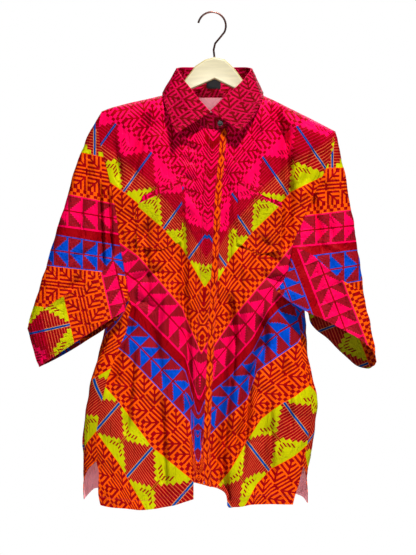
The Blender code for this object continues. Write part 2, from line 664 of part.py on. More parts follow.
def fold_ring(turn):
    """The collar's fold, around the neck."""
    angle = np.radians(turn)
    y = np.where(np.cos(angle) < 0, FOLD_FRONT, FOLD_BACK) * np.cos(angle)
    x = FOLD_MIDDLE + FOLD_HALF_WIDTH * np.sin(angle)
    return np.stack([x, y, read(COLLAR_FOLD, "z", turn, "turn")], 1)


def neck_ring(turn):
    """The stand's foot, on the neckline."""
    angle = np.radians(turn)
    x = NECK_HALF_WIDTH * 0.995 * np.sin(angle)
    face = np.where(np.cos(angle) < 0, -1, 1)
    z = np.where(face < 0, read(NECKLINE, "front", x, "x"), read(NECKLINE, "back", x, "x"))
    ring = on_body(x, z, face)
    at_neck = np.clip((np.abs(x) - 40) / 20, 0, 1)
    ring[:, 2] += STAND_UP + STAND_UP_MORE * at_neck
    ring[:, 0] -= 0.9 * np.sign(x) * at_neck
    return ring


def stand_grid():
    turn = np.linspace(STAND_LEFT_TURN, STAND_RIGHT_TURN, 42)
    foot, top = neck_ring(turn), fold_ring(np.clip(turn, -180, 180))
    past = turn < -180
    top[past] = fold_ring(turn[past] + 360)
    top[past, 2] = LAP_TOP
    rise = np.linspace(0, 1, 4)[:, None, None]
    grid = foot + rise * (top - foot)
    under = np.clip((turn - 140) / 25, 0, 1)
    grid[..., 1] += STAND_LAP * under * under * (3 - 2 * under)
    return turn, grid


def collar():
    turn, grid = stand_grid()
    normal = normals_of(grid)
    if normal[1, len(turn) // 2, 1] < 0:
        normal = -normal
    add_cloth("collar_stand", grid, normal, STAND_WALL, CLOTH_PINK)
    leaf_turn = np.linspace(LEFT_END_TURN, RIGHT_END_TURN, 45)
    crease = fold_ring(leaf_turn)
    face = np.where(np.abs(leaf_turn) > 93, -1, 1)
    x, z = read(LEAF_EDGE, "x", leaf_turn, "turn"), read(LEAF_EDGE, "z", leaf_turn, "turn")
    free = on_body(x, z, face)
    near_ridge = np.clip(1 - np.abs(np.abs(leaf_turn) - 93) / 10, 0, 1)
    free[:, 1] += face * read(LEAF_EDGE, "lift", leaf_turn, "turn") * (1 - near_ridge)
    free[:, 2] += RIDGE_LIFT * near_ridge
    out = np.stack([np.interp(leaf_turn, turn, normal[-1, :, k]) for k in range(3)], 1)
    over = np.cross(np.gradient(crease, axis=0), out)
    over *= np.sign(over[:, 2:]) / np.linalg.norm(over, axis=1, keepdims=True)
    start = crease + LEAF_OFF_STAND * out - 0.8 * over
    round_crease = crease + 0.8 * LEAF_OFF_STAND * out + 0.8 * LEAF_OVER_STAND * over
    rows = [crease + LEAF_OVER_STAND * over, round_crease, start]
    rows += [start + share * (free - start) for share in (0.12, 0.35, 0.6, 0.82, 1.0)]
    leaf = np.stack(rows)
    leaf_normal = normals_of(leaf)
    if leaf_normal[4, len(leaf_turn) // 2, 1] < 0:
        leaf_normal = -leaf_normal
    add_cloth("collar_leaf", leaf, leaf_normal, LEAF_WALL, CLOTH_RED)
    return grid, normal, turn


def placket():
    z = np.linspace(0, 1, 27)
    rows = []
    for share in z:
        row = []
        for across in np.linspace(0, 1, 4):
            left, right = read(PLACKET, "left", NECK_FRONT), read(PLACKET, "right", NECK_FRONT)
            top = read(NECKLINE, "front", left + across * (right - left), "x") - SEAM
            hem_left, hem_right = PLACKET_HEM["x"][0], PLACKET_HEM["x"][-1]
            low = read(PLACKET_HEM, "z", hem_left + across * (hem_right - hem_left), "x")
            height = top + share * (low - top)
            left, right = read(PLACKET, "left", height), read(PLACKET, "right", height)
            row.append((left + across * (right - left), height))
        rows.append(row)
    flat = np.array(rows)
    grid = on_body(flat[..., 0], flat[..., 1], np.full(flat.shape[:2], -1))
    normal = normals_of(grid)
    if normal[5, 1, 1] > 0:
        normal = -normal
    grid = grid + normal * PLACKET_OUT
    add_cloth("placket", grid, normal, PLACKET_WALL, CLOTH_RED)


def pocket(name, rows):
    """A patch pocket with a slanting top and a pointed bottom, laid on its front."""
    x, z = rows["x"], rows["z"]
    corner = np.stack([x, z], 1)
    shares = np.linspace(0, 1, POCKET_PARTS + 1)
    top = walk(corner[[0, 1]], shares)
    low = walk(corner[[4, 3, 2]], shares)
    outer, inner = walk(corner[[0, 4]], shares), walk(corner[[1, 2]], shares)
    flat = spanned(outer, inner, top, low, shares)
    grid = on_body(flat[..., 0], flat[..., 1], np.full(flat.shape[:2], -1))
    normal = normals_of(grid)
    if normal[2, 2, 1] > 0:
        normal = -normal
    add_cloth(name, grid + normal * LYING_OUT, normal, WALL, CLOTH_PINK)


def label_and_button(grid, normal, turn):
    """The plain neck label inside the stand's back and the button on its front."""
    middle = np.flatnonzero(np.abs(grid[1, :, 0]) < 20)
    middle = middle[grid[1, middle, 1] > 0]
    x = np.linspace(LABEL["left"], LABEL["right"], 5)
    rows = []
    for z in np.linspace(LABEL["top"], LABEL["bottom"], 3):
        points = []
        for place in x:
            order = middle[np.argsort(grid[1, middle, 0])]
            foot = [np.interp(place, grid[0, order, 0], grid[0, order, k]) for k in range(3)]
            top = [np.interp(place, grid[-1, order, 0], grid[-1, order, k]) for k in range(3)]
            share = (z - foot[2]) / (top[2] - foot[2])
            points.append((place, foot[1] + share * (top[1] - foot[1]), z))
        rows.append(points)
    flat = np.array(rows)
    facing = normals_of(flat)
    if facing[1, 2, 1] < 0:
        facing = -facing
    off = STAND_WALL / 2 + SEAM + LABEL["thick"] / 2
    add_cloth("neck_label", flat - facing * off, facing, LABEL["thick"], LABEL_BLACK)

    column = np.argmin(np.abs(turn + 360 - BUTTON_PLACE["turn"]))
    spot = grid[0, column] + BUTTON_PLACE["height"] * (grid[-1, column] - grid[0, column])
    out = normal[1, column]
    centre = spot + out * (STAND_WALL / 2 + SEAM + BUTTON_THICK / 2 + 0.1)
    side = np.cross(out, (0, 0, 1.0))
    side /= np.linalg.norm(side)
    up = np.cross(side, out)
    sides = 20
    profile = ((0.86, -0.5), (1.0, -0.25), (1.0, 0.25), (0.86, 0.5))
    points = []
    for radius, depth in profile:
        for k in range(sides):
            angle = 2 * math.pi * k / sides
            ring = BUTTON_RADIUS * radius * (math.cos(angle) * side + math.sin(angle) * up)
            points.append(centre + ring + out * BUTTON_THICK * depth)
    faces = [tuple(range(sides))[::-1], tuple(range(3 * sides, 4 * sides))]
    for level in range(3):
        for k in range(sides):
            a, b = level * sides + k, level * sides + (k + 1) % sides
            faces.append((a, b, b + sides, a + sides))
    low, high = np.array(points[0]), np.array(points[sides])
    if np.cross(points[1] - low, high - low) @ (low - centre) < 0:
        faces = [face[::-1] for face in faces]
    add_mesh("collar_button", points, faces, BUTTON_DARK, 0.3)


def hanger():
    """The wooden hanger: a dome, a notch under it, and two arms under the shoulders."""
    left_x = np.linspace(ARM_ENDS["left"], -78, 8)
    right_x = np.linspace(78, ARM_ENDS["right"], 8)

    def under(place):
        to_end = np.clip((np.abs(place) - 110) / 80, 0, 1)
        return read(RIDGE, "z", place, "x") - UNDER_RIDGE - UNDER_RIDGE_AT_ENDS * to_end

    top = [(x, under(x)) for x in left_x] + list(zip(DOME["x"], DOME["z"]))
    top += [(x, under(x)) for x in right_x]
    low = [(x, under(x) - ARM_TALL) for x in right_x[::-1]]
    low += list(zip(NOTCH["x"][::-1], NOTCH["z"][::-1]))
    low += [(x, under(x) - ARM_TALL) for x in left_x[::-1]]
    right_x, left_x = ARM_ENDS["right"], ARM_ENDS["left"]
    right_end = [(right_x + ARM_END_ROUND, under(right_x) - share * ARM_TALL) for share in (0.3, 0.7)]
    left_end = [(left_x - ARM_END_ROUND, under(left_x) - share * ARM_TALL) for share in (0.7, 0.3)]
    outline = top + right_end + low + left_end
    count = len(outline)
    points = [(x, y, z) for y in (-WOOD_THICK / 2, WOOD_THICK / 2) for x, z in outline]
    faces = [tuple(range(count))[::-1], tuple(range(count, 2 * count))]
    faces += [(k, (k + 1) % count, (k + 1) % count + count, k + count) for k in range(count)]
    piece = add_mesh("hanger_body", points, faces, WOOD_CREAM, 0.35)
    bevel = piece.modifiers.new("rounded", "BEVEL")
    bevel.width = WOOD_BEVEL * MM
    bevel.segments = 2
    bevel.limit_method = "ANGLE"
    bevel.angle_limit = math.radians(60)


def hook():
    """The hanger's wire hook: a crown by its arc, and a tail that curls back to the stem."""
    turns = np.radians(np.linspace(HOOK_CROWN["start"], HOOK_CROWN["end"], 16))
    x = HOOK_CROWN["x"] + HOOK_CROWN["radius"] * np.cos(turns)
    z = HOOK_CROWN["z"] + HOOK_CROWN["radius"] * np.sin(turns)
    route = list(zip(x, z)) + list(zip(HOOK_TAIL["x"], HOOK_TAIL["z"]))
    curve = bpy.data.curves.new("hanger_hook", "CURVE")
    curve.dimensions = "3D"
    curve.bevel_depth = WIRE_RADIUS * MM
    curve.bevel_resolution = 2
    curve.use_fill_caps = True
    line = curve.splines.new("POLY")
    line.points.add(len(route) - 1)
    for point, (px, pz) in zip(line.points, route):
        point.co = (px * MM, 0, pz * MM, 1)
    piece = bpy.data.objects.new("hanger_hook", curve)
    bpy.context.scene.collection.objects.link(piece)
    wire = bpy.data.materials.new("hook_wire")
    wire.use_nodes = True
    shader = wire.node_tree.nodes["Principled BSDF"]
    shader.inputs["Base Color"].default_value = WIRE_COPPER
    shader.inputs["Roughness"].default_value = 0.35
    shader.inputs["Metallic"].default_value = 1.0
    curve.materials.append(wire)


def main():
    for old in list(bpy.data.objects):
        bpy.data.objects.remove(old)
    left = front_panel("front_left", -1, CLOTH_RED)
    right = front_panel("front_right", 1, CLOTH_ORANGE)
    back = back_panel()
    sleeve("left", -1, left, back, CLOTH_PINK)
    sleeve("right", 1, right, back, CLOTH_PINK)
    label_and_button(*collar())
    placket()
    pocket("pocket_left", LEFT_POCKET)
    pocket("pocket_right", RIGHT_POCKET)
    hanger()
    hook()


main()
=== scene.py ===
import math

import bpy
import numpy as np
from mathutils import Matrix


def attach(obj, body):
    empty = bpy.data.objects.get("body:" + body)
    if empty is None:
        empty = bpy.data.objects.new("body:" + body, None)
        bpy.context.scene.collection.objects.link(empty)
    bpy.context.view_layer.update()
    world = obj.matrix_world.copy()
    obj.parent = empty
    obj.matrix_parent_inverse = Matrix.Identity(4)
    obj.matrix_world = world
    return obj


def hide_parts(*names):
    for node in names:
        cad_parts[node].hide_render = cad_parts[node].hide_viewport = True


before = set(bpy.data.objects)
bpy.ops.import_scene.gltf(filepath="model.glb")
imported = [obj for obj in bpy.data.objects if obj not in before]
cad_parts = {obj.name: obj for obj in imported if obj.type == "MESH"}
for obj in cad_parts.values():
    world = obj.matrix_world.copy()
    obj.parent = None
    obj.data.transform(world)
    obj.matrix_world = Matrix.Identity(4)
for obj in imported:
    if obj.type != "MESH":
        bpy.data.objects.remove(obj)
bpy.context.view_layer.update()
mm = 0.001
print("the solids are loaded")

# Where the camera stands and how much of the shirt's plane it takes in, in metres.
viewMade = {"middle": (-0.0105, -0.5026), "tall": 1.0545, "away": 8.0, "filmTall": 36.0}
lightsMade = {
    "key": {"at": (0.95, -2.5, 4.2), "size": 0.35, "watts": 530.0},
    "side": {"at": (-0.8, -3.4, -0.6), "size": 0.8, "watts": 5.5},
    "behind": {"at": (0.3, 2.2, 0.8), "size": 1.8, "watts": 38.0},
    "neck": {"at": (0.0, -2.6, -0.12), "toward": (-0.003, 0.03, -0.161), "cone": 2.0, "watts": 190.0},
    "roomLight": 0.03,
}
floorMade = {"down": -1.32, "half": 1.6, "colour": (0.82, 0.82, 0.81, 1)}


def placed(name, data):
    thing = bpy.data.objects.new(name, data)
    bpy.context.scene.collection.objects.link(thing)
    return thing


def put(tree, made, values):
    # sets a node's inputs: a socket or a thread is linked, and a number or a colour is written in
    for key, value in values.items():
        value = getattr(value, "socket", value)
        if isinstance(value, bpy.types.NodeSocket):
            tree.links.new(value, made.inputs[key])
        else:
            made.inputs[key].default_value = value
    return made


def node(tree, kind, values, **settings):
    made = tree.nodes.new("ShaderNode" + kind)
    for name, value in settings.items():
        setattr(made, name, value)
    return put(tree, made, values)


def newMaterial(name):
    material = bpy.data.materials.new(name)
    material.use_nodes = True
    return material, material.node_tree, material.node_tree.nodes["Principled BSDF"]


def lit(name, kind, target):
    values = lightsMade[name]
    lamp = bpy.data.lights.new(name, kind)
    lamp.energy = values["watts"]
    light = placed(name, lamp)
    light.location = values["at"]
    away = np.array(light.location) - np.array(target)
    flat = math.hypot(away[0], away[1])
    light.rotation_euler = (math.atan2(flat, away[2]), 0, math.atan2(away[0], -away[1]))
    return lamp


def cameraAndLights():
    middle = viewMade["middle"]
    lens = bpy.data.cameras.new("camera")
    lens.sensor_fit = "VERTICAL"
    lens.sensor_height = viewMade["filmTall"]
    lens.lens = viewMade["filmTall"] * viewMade["away"] / viewMade["tall"]
    lens.clip_end = 60
    camera = placed("camera", lens)
    camera.location = (middle[0], -viewMade["away"], middle[1])
    camera.rotation_euler = (math.pi / 2, 0, 0)
    bpy.context.scene.camera = camera
    for name in ("key", "side", "behind"):
        lit(name, "AREA", (0, 0, middle[1])).size = lightsMade[name]["size"]
    spot = lit("neck", "SPOT", lightsMade["neck"]["toward"])    # reaches the inside of the neck
    spot.spot_size = math.radians(lightsMade["neck"]["cone"])
    spot.spot_blend = 0.8
    spot.shadow_soft_size = 0.03
    world = bpy.data.worlds.new("studio")
    world.use_nodes = True
    bpy.context.scene.world = world
    tree = world.node_tree
    tree.nodes.clear()
    white = (1, 1, 1, 1)
    seen = node(tree, "Background", {"Color": white, "Strength": 1.0})    # all that the camera sees of it
    room = node(tree, "Background", {"Color": white, "Strength": lightsMade["roomLight"]})
    way = node(tree, "LightPath", {}).outputs["Is Camera Ray"]
    both = node(tree, "MixShader", {0: way, 1: room.outputs[0], 2: seen.outputs[0]})
    node(tree, "OutputWorld", {0: both.outputs[0]})
    bpy.context.scene.view_settings.view_transform = "Standard"


def floor():
    half, down = floorMade["half"], floorMade["down"]
    mesh = bpy.data.meshes.new("floor")
    corners = [(-half, -half, down), (half, -half, down), (half, half, down), (-half, half, down)]
    mesh.from_pydata(corners, [], [(0, 1, 2, 3)])
    paint, tree, shader = newMaterial("floor_paint")
    put(tree, shader, {"Base Color": floorMade["colour"], "Roughness": 0.8})
    mesh.materials.append(paint)
    placed("floor", mesh)


cameraAndLights()
floor()
print("the camera and the lights are set")


class Thread:
    # a number in a material's nodes, which + - * / and the steps named below work on
    def __init__(self, tree, socket):
        self.tree = tree
        self.socket = socket

    def step(self, operation, *others):
        made = node(self.tree, "Math", dict(enumerate((self, *others))), operation=operation)
        return Thread(self.tree, made.outputs[0])

    def between(self, low, high):
        return self.over(low) * self.under(high)

    def flipped(self):
        return self * -1.0 + 1.0


def addStep(name, operation):
    setattr(Thread, name, lambda self, *others: self.step(operation, *others))


for stepName, stepOperation in (
    ("__add__", "ADD"), ("__sub__", "SUBTRACT"), ("__mul__", "MULTIPLY"), ("__truediv__", "DIVIDE"),
    ("over", "GREATER_THAN"), ("under", "LESS_THAN"), ("size", "ABSOLUTE"), ("repeat", "FLOORED_MODULO"),
    ("floor", "FLOOR"), ("most", "MAXIMUM"), ("least", "MINIMUM"),
):
    addStep(stepName, stepOperation)


# The print, in millimetres across its bands. start says where each band begins.
printMade = {
    "start": {"pinkComb": 0.0, "diamonds": 79.0, "orangeComb": 178.0, "pinkSaw": 257.0, "plain": 318.0,
              "blueSaw": 334.0, "orangeComb2": 393.0, "yellowDiamonds": 472.0, "orangeComb3": 571.0},
    "combWide": 79.0, "block": 26.5, "branch": 8.2, "stem": 2.1, "treeTall": 23.3, "square": 6.5,
    "checkerFrom": 66.0, "tooth": 27.5, "toothMiddle": 30.0, "toothStep": 3.4, "toothGap": 24.0,
    "toothLine": 1.4, "fineStripe": 2.9, "diamondRepeat": 90.0, "diamondHalf": 49.5, "diamondStep": 8.25,
    "diamondSlope": 0.88, "hairline": 5.4, "blueLine": 1.9, "chainWide": 13.0, "chainRepeat": 49.0,
    "darkRed": (0.31, 0.0, 0.003, 1), "pink": (1.0, 0.0, 0.085, 1), "orange": (0.93, 0.092, 0.0, 1),
    "yellow": (0.52, 0.52, 0.0, 1), "blue": (0.0, 0.06, 0.5, 1), "lineBlue": (0.0, 0.055, 0.32, 1),
    "dullRed": (0.25, 0.01, 0.022, 1), "peach": (0.72, 0.1, 0.03, 1), "deepPink": (0.58, 0.0, 0.035, 1),
    "lightEdge": (0.62, 0.3, 0.09, 1),
}


def coloured(tree, under, mask, colour):
    return node(tree, "Mix", {0: mask, 6: under, 7: colour}, data_type="RGBA").outputs[2]


def combMask(along, across):
    # two rows of small trees, mirrored about a pair of stripes: nested corners on a slanting stem
    tall = printMade["treeTall"]
    a = along.repeat(printMade["block"])
    b = across.least(across * -1.0 + printMade["checkerFrom"]) - 1.8
    deep = a.most(b)
    tree = (deep - 7.0).repeat(printMade["branch"]).over(printMade["branch"] * 0.5)
    tree = tree.most((a - b).size().under(printMade["stem"])).most(deep.under(6.0)) * deep.under(tall)
    stripe = b.between(tall + 3.0, tall + 6.6)
    crossing = a.over(tall - 0.6) * b.over(tall + 1.6)
    return tree.most(stripe).most(crossing).flipped()


def sawMask(along, across):
    # two rows of stepped triangles on each side of a dark middle line
    rise = (across - printMade["toothMiddle"]).size()
    a = along.repeat(printMade["tooth"])
    stair = (a / printMade["toothStep"]).floor() * printMade["toothStep"]
    dark = rise.over(stair + 1.0) * a.under(printMade["toothGap"])
    edge = rise.over(printMade["toothMiddle"] - 2.4)
    return dark.most(rise.under(printMade["toothLine"])).flipped().most(edge), rise


def printGroup():
    tree = bpy.data.node_groups.new("chevron_print", "ShaderNodeTree")
    tree.interface.new_socket("Place", in_out="INPUT", socket_type="NodeSocketVector")
    tree.interface.new_socket("Colour", in_out="OUTPUT", socket_type="NodeSocketColor")
    parts = node(tree, "SeparateXYZ", {0: tree.nodes.new("NodeGroupInput").outputs[0]})
    along, across = (Thread(tree, parts.outputs[k]) * 1000.0 for k in (0, 1))
    starts = printMade["start"]

    def zone(name, end):
        return across.between(starts[name], starts[end])

    combFrom = across.over(starts["orangeComb"]) * starts["orangeComb"]
    for last, name in (("orangeComb", "orangeComb2"), ("orangeComb2", "orangeComb3")):
        combFrom = combFrom + across.over(starts[name]) * (starts[name] - starts[last])
    inComb = (across - combFrom).repeat(printMade["combWide"])
    square = printMade["square"]
    checkerRow = inComb.over(printMade["checkerFrom"])
    squareRow = ((inComb - printMade["checkerFrom"]) / square).floor()
    checker = ((along / square).floor() + squareRow).repeat(2.0).over(0.5)
    comb = combMask(along, inComb) * checkerRow.flipped() + checker * checkerRow
    comb = comb.most((inComb - 39.5).size().over(38.3))

    pinkSaw, pinkRise = sawMask(along, across - starts["pinkSaw"])
    blueSaw, blueRise = sawMask(along, across - (starts["blueSaw"] - 0.5))
    stripe = across.repeat(printMade["fineStripe"]).over(printMade["fineStripe"] / 2)

    lower = across.over(starts["yellowDiamonds"])
    inDiamonds = across - (lower * (starts["yellowDiamonds"] - starts["diamonds"]) + starts["diamonds"])
    half, repeat = printMade["diamondHalf"], printMade["diamondRepeat"]
    fromLine = (along.repeat(repeat) - repeat / 2).size()
    fromMiddle = (inDiamonds - half).size()
    stairs = (fromMiddle / printMade["diamondStep"]).floor() * printMade["diamondStep"]
    diamond = fromLine.under((stairs * -printMade["diamondSlope"]) + (repeat / 2 - 1.5))
    below = inDiamonds.over(half).most(lower)
    fromGap = (fromLine - repeat / 2).size()
    bars = (fromGap - 1.5).repeat(5.4).under(2.6) * fromGap.between(1.5, 17.0)
    bars = bars * (fromMiddle - fromGap * 0.85 - 19.5).size().under(5.2)
    bars = bars.most(fromGap.under(1.2) * fromMiddle.under(14.0))

    orangeZone = zone("orangeComb", "pinkSaw").most(zone("orangeComb2", "yellowDiamonds"))
    orangeZone = orangeZone.most(across.over(starts["orangeComb3"]))
    diamondZone = zone("diamonds", "orangeComb").most(zone("yellowDiamonds", "orangeComb3"))
    pinkSawZone, blueSawZone = zone("pinkSaw", "plain"), zone("blueSaw", "orangeComb2")
    gap = diamondZone * diamond.flipped() * bars.flipped()
    lines = diamondZone * diamond * inDiamonds.repeat(printMade["hairline"]).under(1.3)
    blueLine = fromLine.under(printMade["blueLine"])
    lineEdge = fromLine.under(printMade["blueLine"] + 0.9)
    toothLine = printMade["toothLine"]

    colour = node(tree, "RGB", {}).outputs[0]
    colour.default_value = printMade["darkRed"]
    for mask, name in (
        (across.under(starts["diamonds"]) * comb, "pink"), (orangeZone * comb, "orange"),
        (pinkSawZone * stripe * pinkSaw.flipped() * pinkRise.over(toothLine), "dullRed"),
        (pinkSawZone * pinkSaw, "pink"), (blueSawZone * stripe.most(blueRise.over(28.0)), "dullRed"),
        (blueSawZone * blueSaw * blueRise.over(toothLine), "blue"), (gap, "pink"), (gap * below, "yellow"),
        (lines, "deepPink"), (lines * below, "peach"), (diamondZone * lineEdge * below, "lightEdge"),
        (diamondZone * blueLine, "lineBlue"),
    ):
        colour = coloured(tree, colour, mask, printMade[name])
    put(tree, tree.nodes.new("NodeGroupOutput"), {0: colour})
    return tree


# The pattern of the shirt, in millimetres, as its solids have it. z is upright and front is -1.
sideNames = {-1: "left", 1: "right"}


def table(names, *rows):
    return dict(zip(names.split(), np.array(rows, float).T))


def pairs(rows):
    return np.stack([rows["x"], rows["z"]], 1)


def read(rows, name, at, by="z"):
    order = np.argsort(rows[by])
    return np.interp(at, rows[by][order], rows[name][order])


def toward(way, distance=1.0):
    return distance * way / np.maximum(np.linalg.norm(way, axis=-1, keepdims=True), 1e-9)


def runLength(points, axis):
    # how far each point lies from the first one, along its row or column
    steps = np.cumsum(np.linalg.norm(np.diff(points, axis=axis), axis=-1), axis)
    return np.concatenate([np.zeros_like(steps.take([0], axis)), steps], axis)


def eased(amount, share):
    # the amount, faded in smoothly as the share goes from 0 to 1
    return amount * share * share * (3 - 2 * share)


clothMade = {"layer": 1.4, "overlap": 0.6, "seamGap": 0.35, "creasesWithin": 16.0, "sharpest": 55}
bodyMade = {
    "sides": table("z left right front back",
        (-120, -229, 250, 38, 38), (-188, -229, 250, 38, 36), (-226, -238, 246, 40, 35),
        (-260, -244, 242, 42, 35), (-327, -226, 216, 44, 36), (-384, -217, 197, 45, 37),
        (-454, -210, 178, 44, 37), (-526, -203, 171, 43, 37), (-568, -202, 172, 43, 38),
        (-602, -204, 176, 43, 38), (-631, -213, 175, 44, 39), (-659, -221, 178, 44, 39),
        (-694, -231, 188, 45, 40), (-733, -238, 199, 46, 41), (-765, -242, 195, 46, 41),
        (-796, -246, 189, 46, 41), (-830, -247, 185, 46, 42), (-882, -247, 177, 47, 43),
        (-940, -247, 180, 48, 44),
    ),
    "ridge": table("x z",
        (-240, -200), (-212, -188), (-198, -182), (-161, -172), (-124, -164), (-95, -157), (-79, -153),
        (-40, -139), (0, -128), (40, -134), (79, -152), (95, -158), (111, -165), (143, -181), (187, -203),
        (231, -226), (262, -243),
    ),
    "folds": table("fold face x z depth width",
        (1, -1, -121, -186, 5, 15), (1, -1, -157, -317, 5, 15), (2, -1, 116, -172, 9, 12),
        (2, -1, 138, -232, 10, 11), (2, -1, 146, -340, 9, 12), (2, -1, 140, -452, 6, 12),
        (3, -1, 35, -545, 9, 14), (3, -1, 43, -621, 10, 14), (3, -1, 16, -844, 12, 12),
        (3, -1, 28, -925, 12, 12), (4, -1, 98, -583, 7, 13), (4, -1, 98, -638, 8, 12),
        (4, -1, 70, -690, 8, 12), (4, -1, 56, -849, 6, 12), (5, -1, -150, -560, 7, 12),
        (5, -1, -162, -600, 8, 11), (5, -1, -196, -709, 6, 11), (6, -1, -62, -470, 4, 12),
        (6, -1, -60, -551, 5, 11), (6, -1, -49, -697, 5, 11), (6, -1, -43, -800, 4, 12),
        (7, -1, -116, -700, 5, 20), (7, -1, -100, -930, 8, 20), (8, -1, 112, -760, 6, 18),
        (8, -1, 110, -930, 8, 18), (9, 1, -60, -300, 5, 22), (9, 1, -92, -620, 8, 22),
        (9, 1, -80, -900, 10, 20), (10, 1, 66, -330, 5, 20), (10, 1, 58, -600, 8, 22),
        (10, 1, 84, -900, 10, 20), (11, 1, -160, -560, 5, 16), (11, 1, -172, -900, 9, 18),
    ),
    "ridgeRound": 30.0, "thin": 6.0, "foldRoom": 20.0, "foldToHem": -880.0, "foldFade": 45.0,
    "turnScale": 150.0,
}


def sideOf(name, z):
    return read(bodyMade["sides"], name, z)


def ridge(x):
    return read(bodyMade["ridge"], "z", x, "x")


def deepAt(y, z):
    return np.where(y < 0, sideOf("front", z), sideOf("back", z))


def toLine(x, z, ax, az, bx, bz):
    dx, dz = bx - ax, bz - az
    share = np.clip(((x - ax) * dx + (z - az) * dz) / (dx * dx + dz * dz), 0, 1)
    return np.hypot(x - ax - share * dx, z - az - share * dz), share


def pressedIn(x, z, face):
    folds = bodyMade["folds"]
    total = np.zeros(np.broadcast(x, z).shape)
    for number in np.unique(folds["fold"]):
        rows = np.flatnonzero(folds["fold"] == number)
        deepest = np.zeros_like(total)
        length = np.hypot(np.diff(folds["x"][rows]), np.diff(folds["z"][rows]))
        start = np.concatenate([[0], np.cumsum(length)])
        for k, (a, b) in enumerate(zip(rows[:-1], rows[1:])):
            far, share = toLine(x, z, *(folds[axis][row] for row in (a, b) for axis in "xz"))
            depth, width = (
                folds[name][a] * (1 - share) + folds[name][b] * share for name in ("depth", "width")
            )
            place = start[k] + share * length[k]
            if folds["z"][rows[-1]] >= bodyMade["foldToHem"]:
                place = np.minimum(place, start[-1] - place)
            fade = np.clip(place / bodyMade["foldFade"], 0, 1)
            deepest = np.maximum(deepest, depth * fade * np.exp(-((far / width) ** 2)))
        total += np.where(face == folds["face"][rows[0]], deepest, 0)
    return total


def turnAt(x, z, face):
    # the angle round the body, from its right side over the front, of a place on it
    left, right = sideOf("left", z), sideOf("right", z)
    turn = np.arccos(np.clip((x - (left + right) / 2) / ((right - left) / 2), -1, 1))
    return np.where(np.asarray(face) < 0, turn, 2 * math.pi - turn)


def body(turn, z):
    left, right = sideOf("left", z), sideOf("right", z)
    x = (left + right) / 2 + (right - left) / 2 * np.cos(turn)
    face = np.where(np.sin(turn) >= 0, -1, 1)
    swell = np.sqrt(np.clip(1 - np.abs(np.cos(turn)) ** 3, 0, 1))
    over = np.sqrt(1 - (1 - np.clip((ridge(x) - z) / bodyMade["ridgeRound"], 0, 1)) ** 2)
    deep = deepAt(face, z) * swell * over
    room = np.clip((deep - bodyMade["thin"]) / bodyMade["foldRoom"], 0, 1)
    deep = deep - pressedIn(x, z, face) * room
    y = face * (deep + clothMade["seamGap"] / 2 * (1 - over))
    return np.stack([x, y, z], -1)


def onBody(x, z, face):
    return body(turnAt(x, z, face), np.broadcast_to(z, np.shape(x)).astype(float))


def walk(points, shares):
    length = runLength(points, 0)
    at = np.asarray(shares) * length[-1]
    return np.stack([np.interp(at, length, points[:, k]) for k in range(points.shape[1])], 1)


armRows = np.array([0, 0.013, 0.03, 0.055, 0.09, 0.15, 0.23, 0.33, 0.44, 0.56, 0.69, 0.80, 0.90, 1.0])
seamRows = np.linspace(0, 1, 11)[1:]
slitRows = np.linspace(0, 1, 5)[1:]
shoulderParts = 7
neckParts = 8
sleeveParts = 8
bandParts = 4
pocketParts = 6

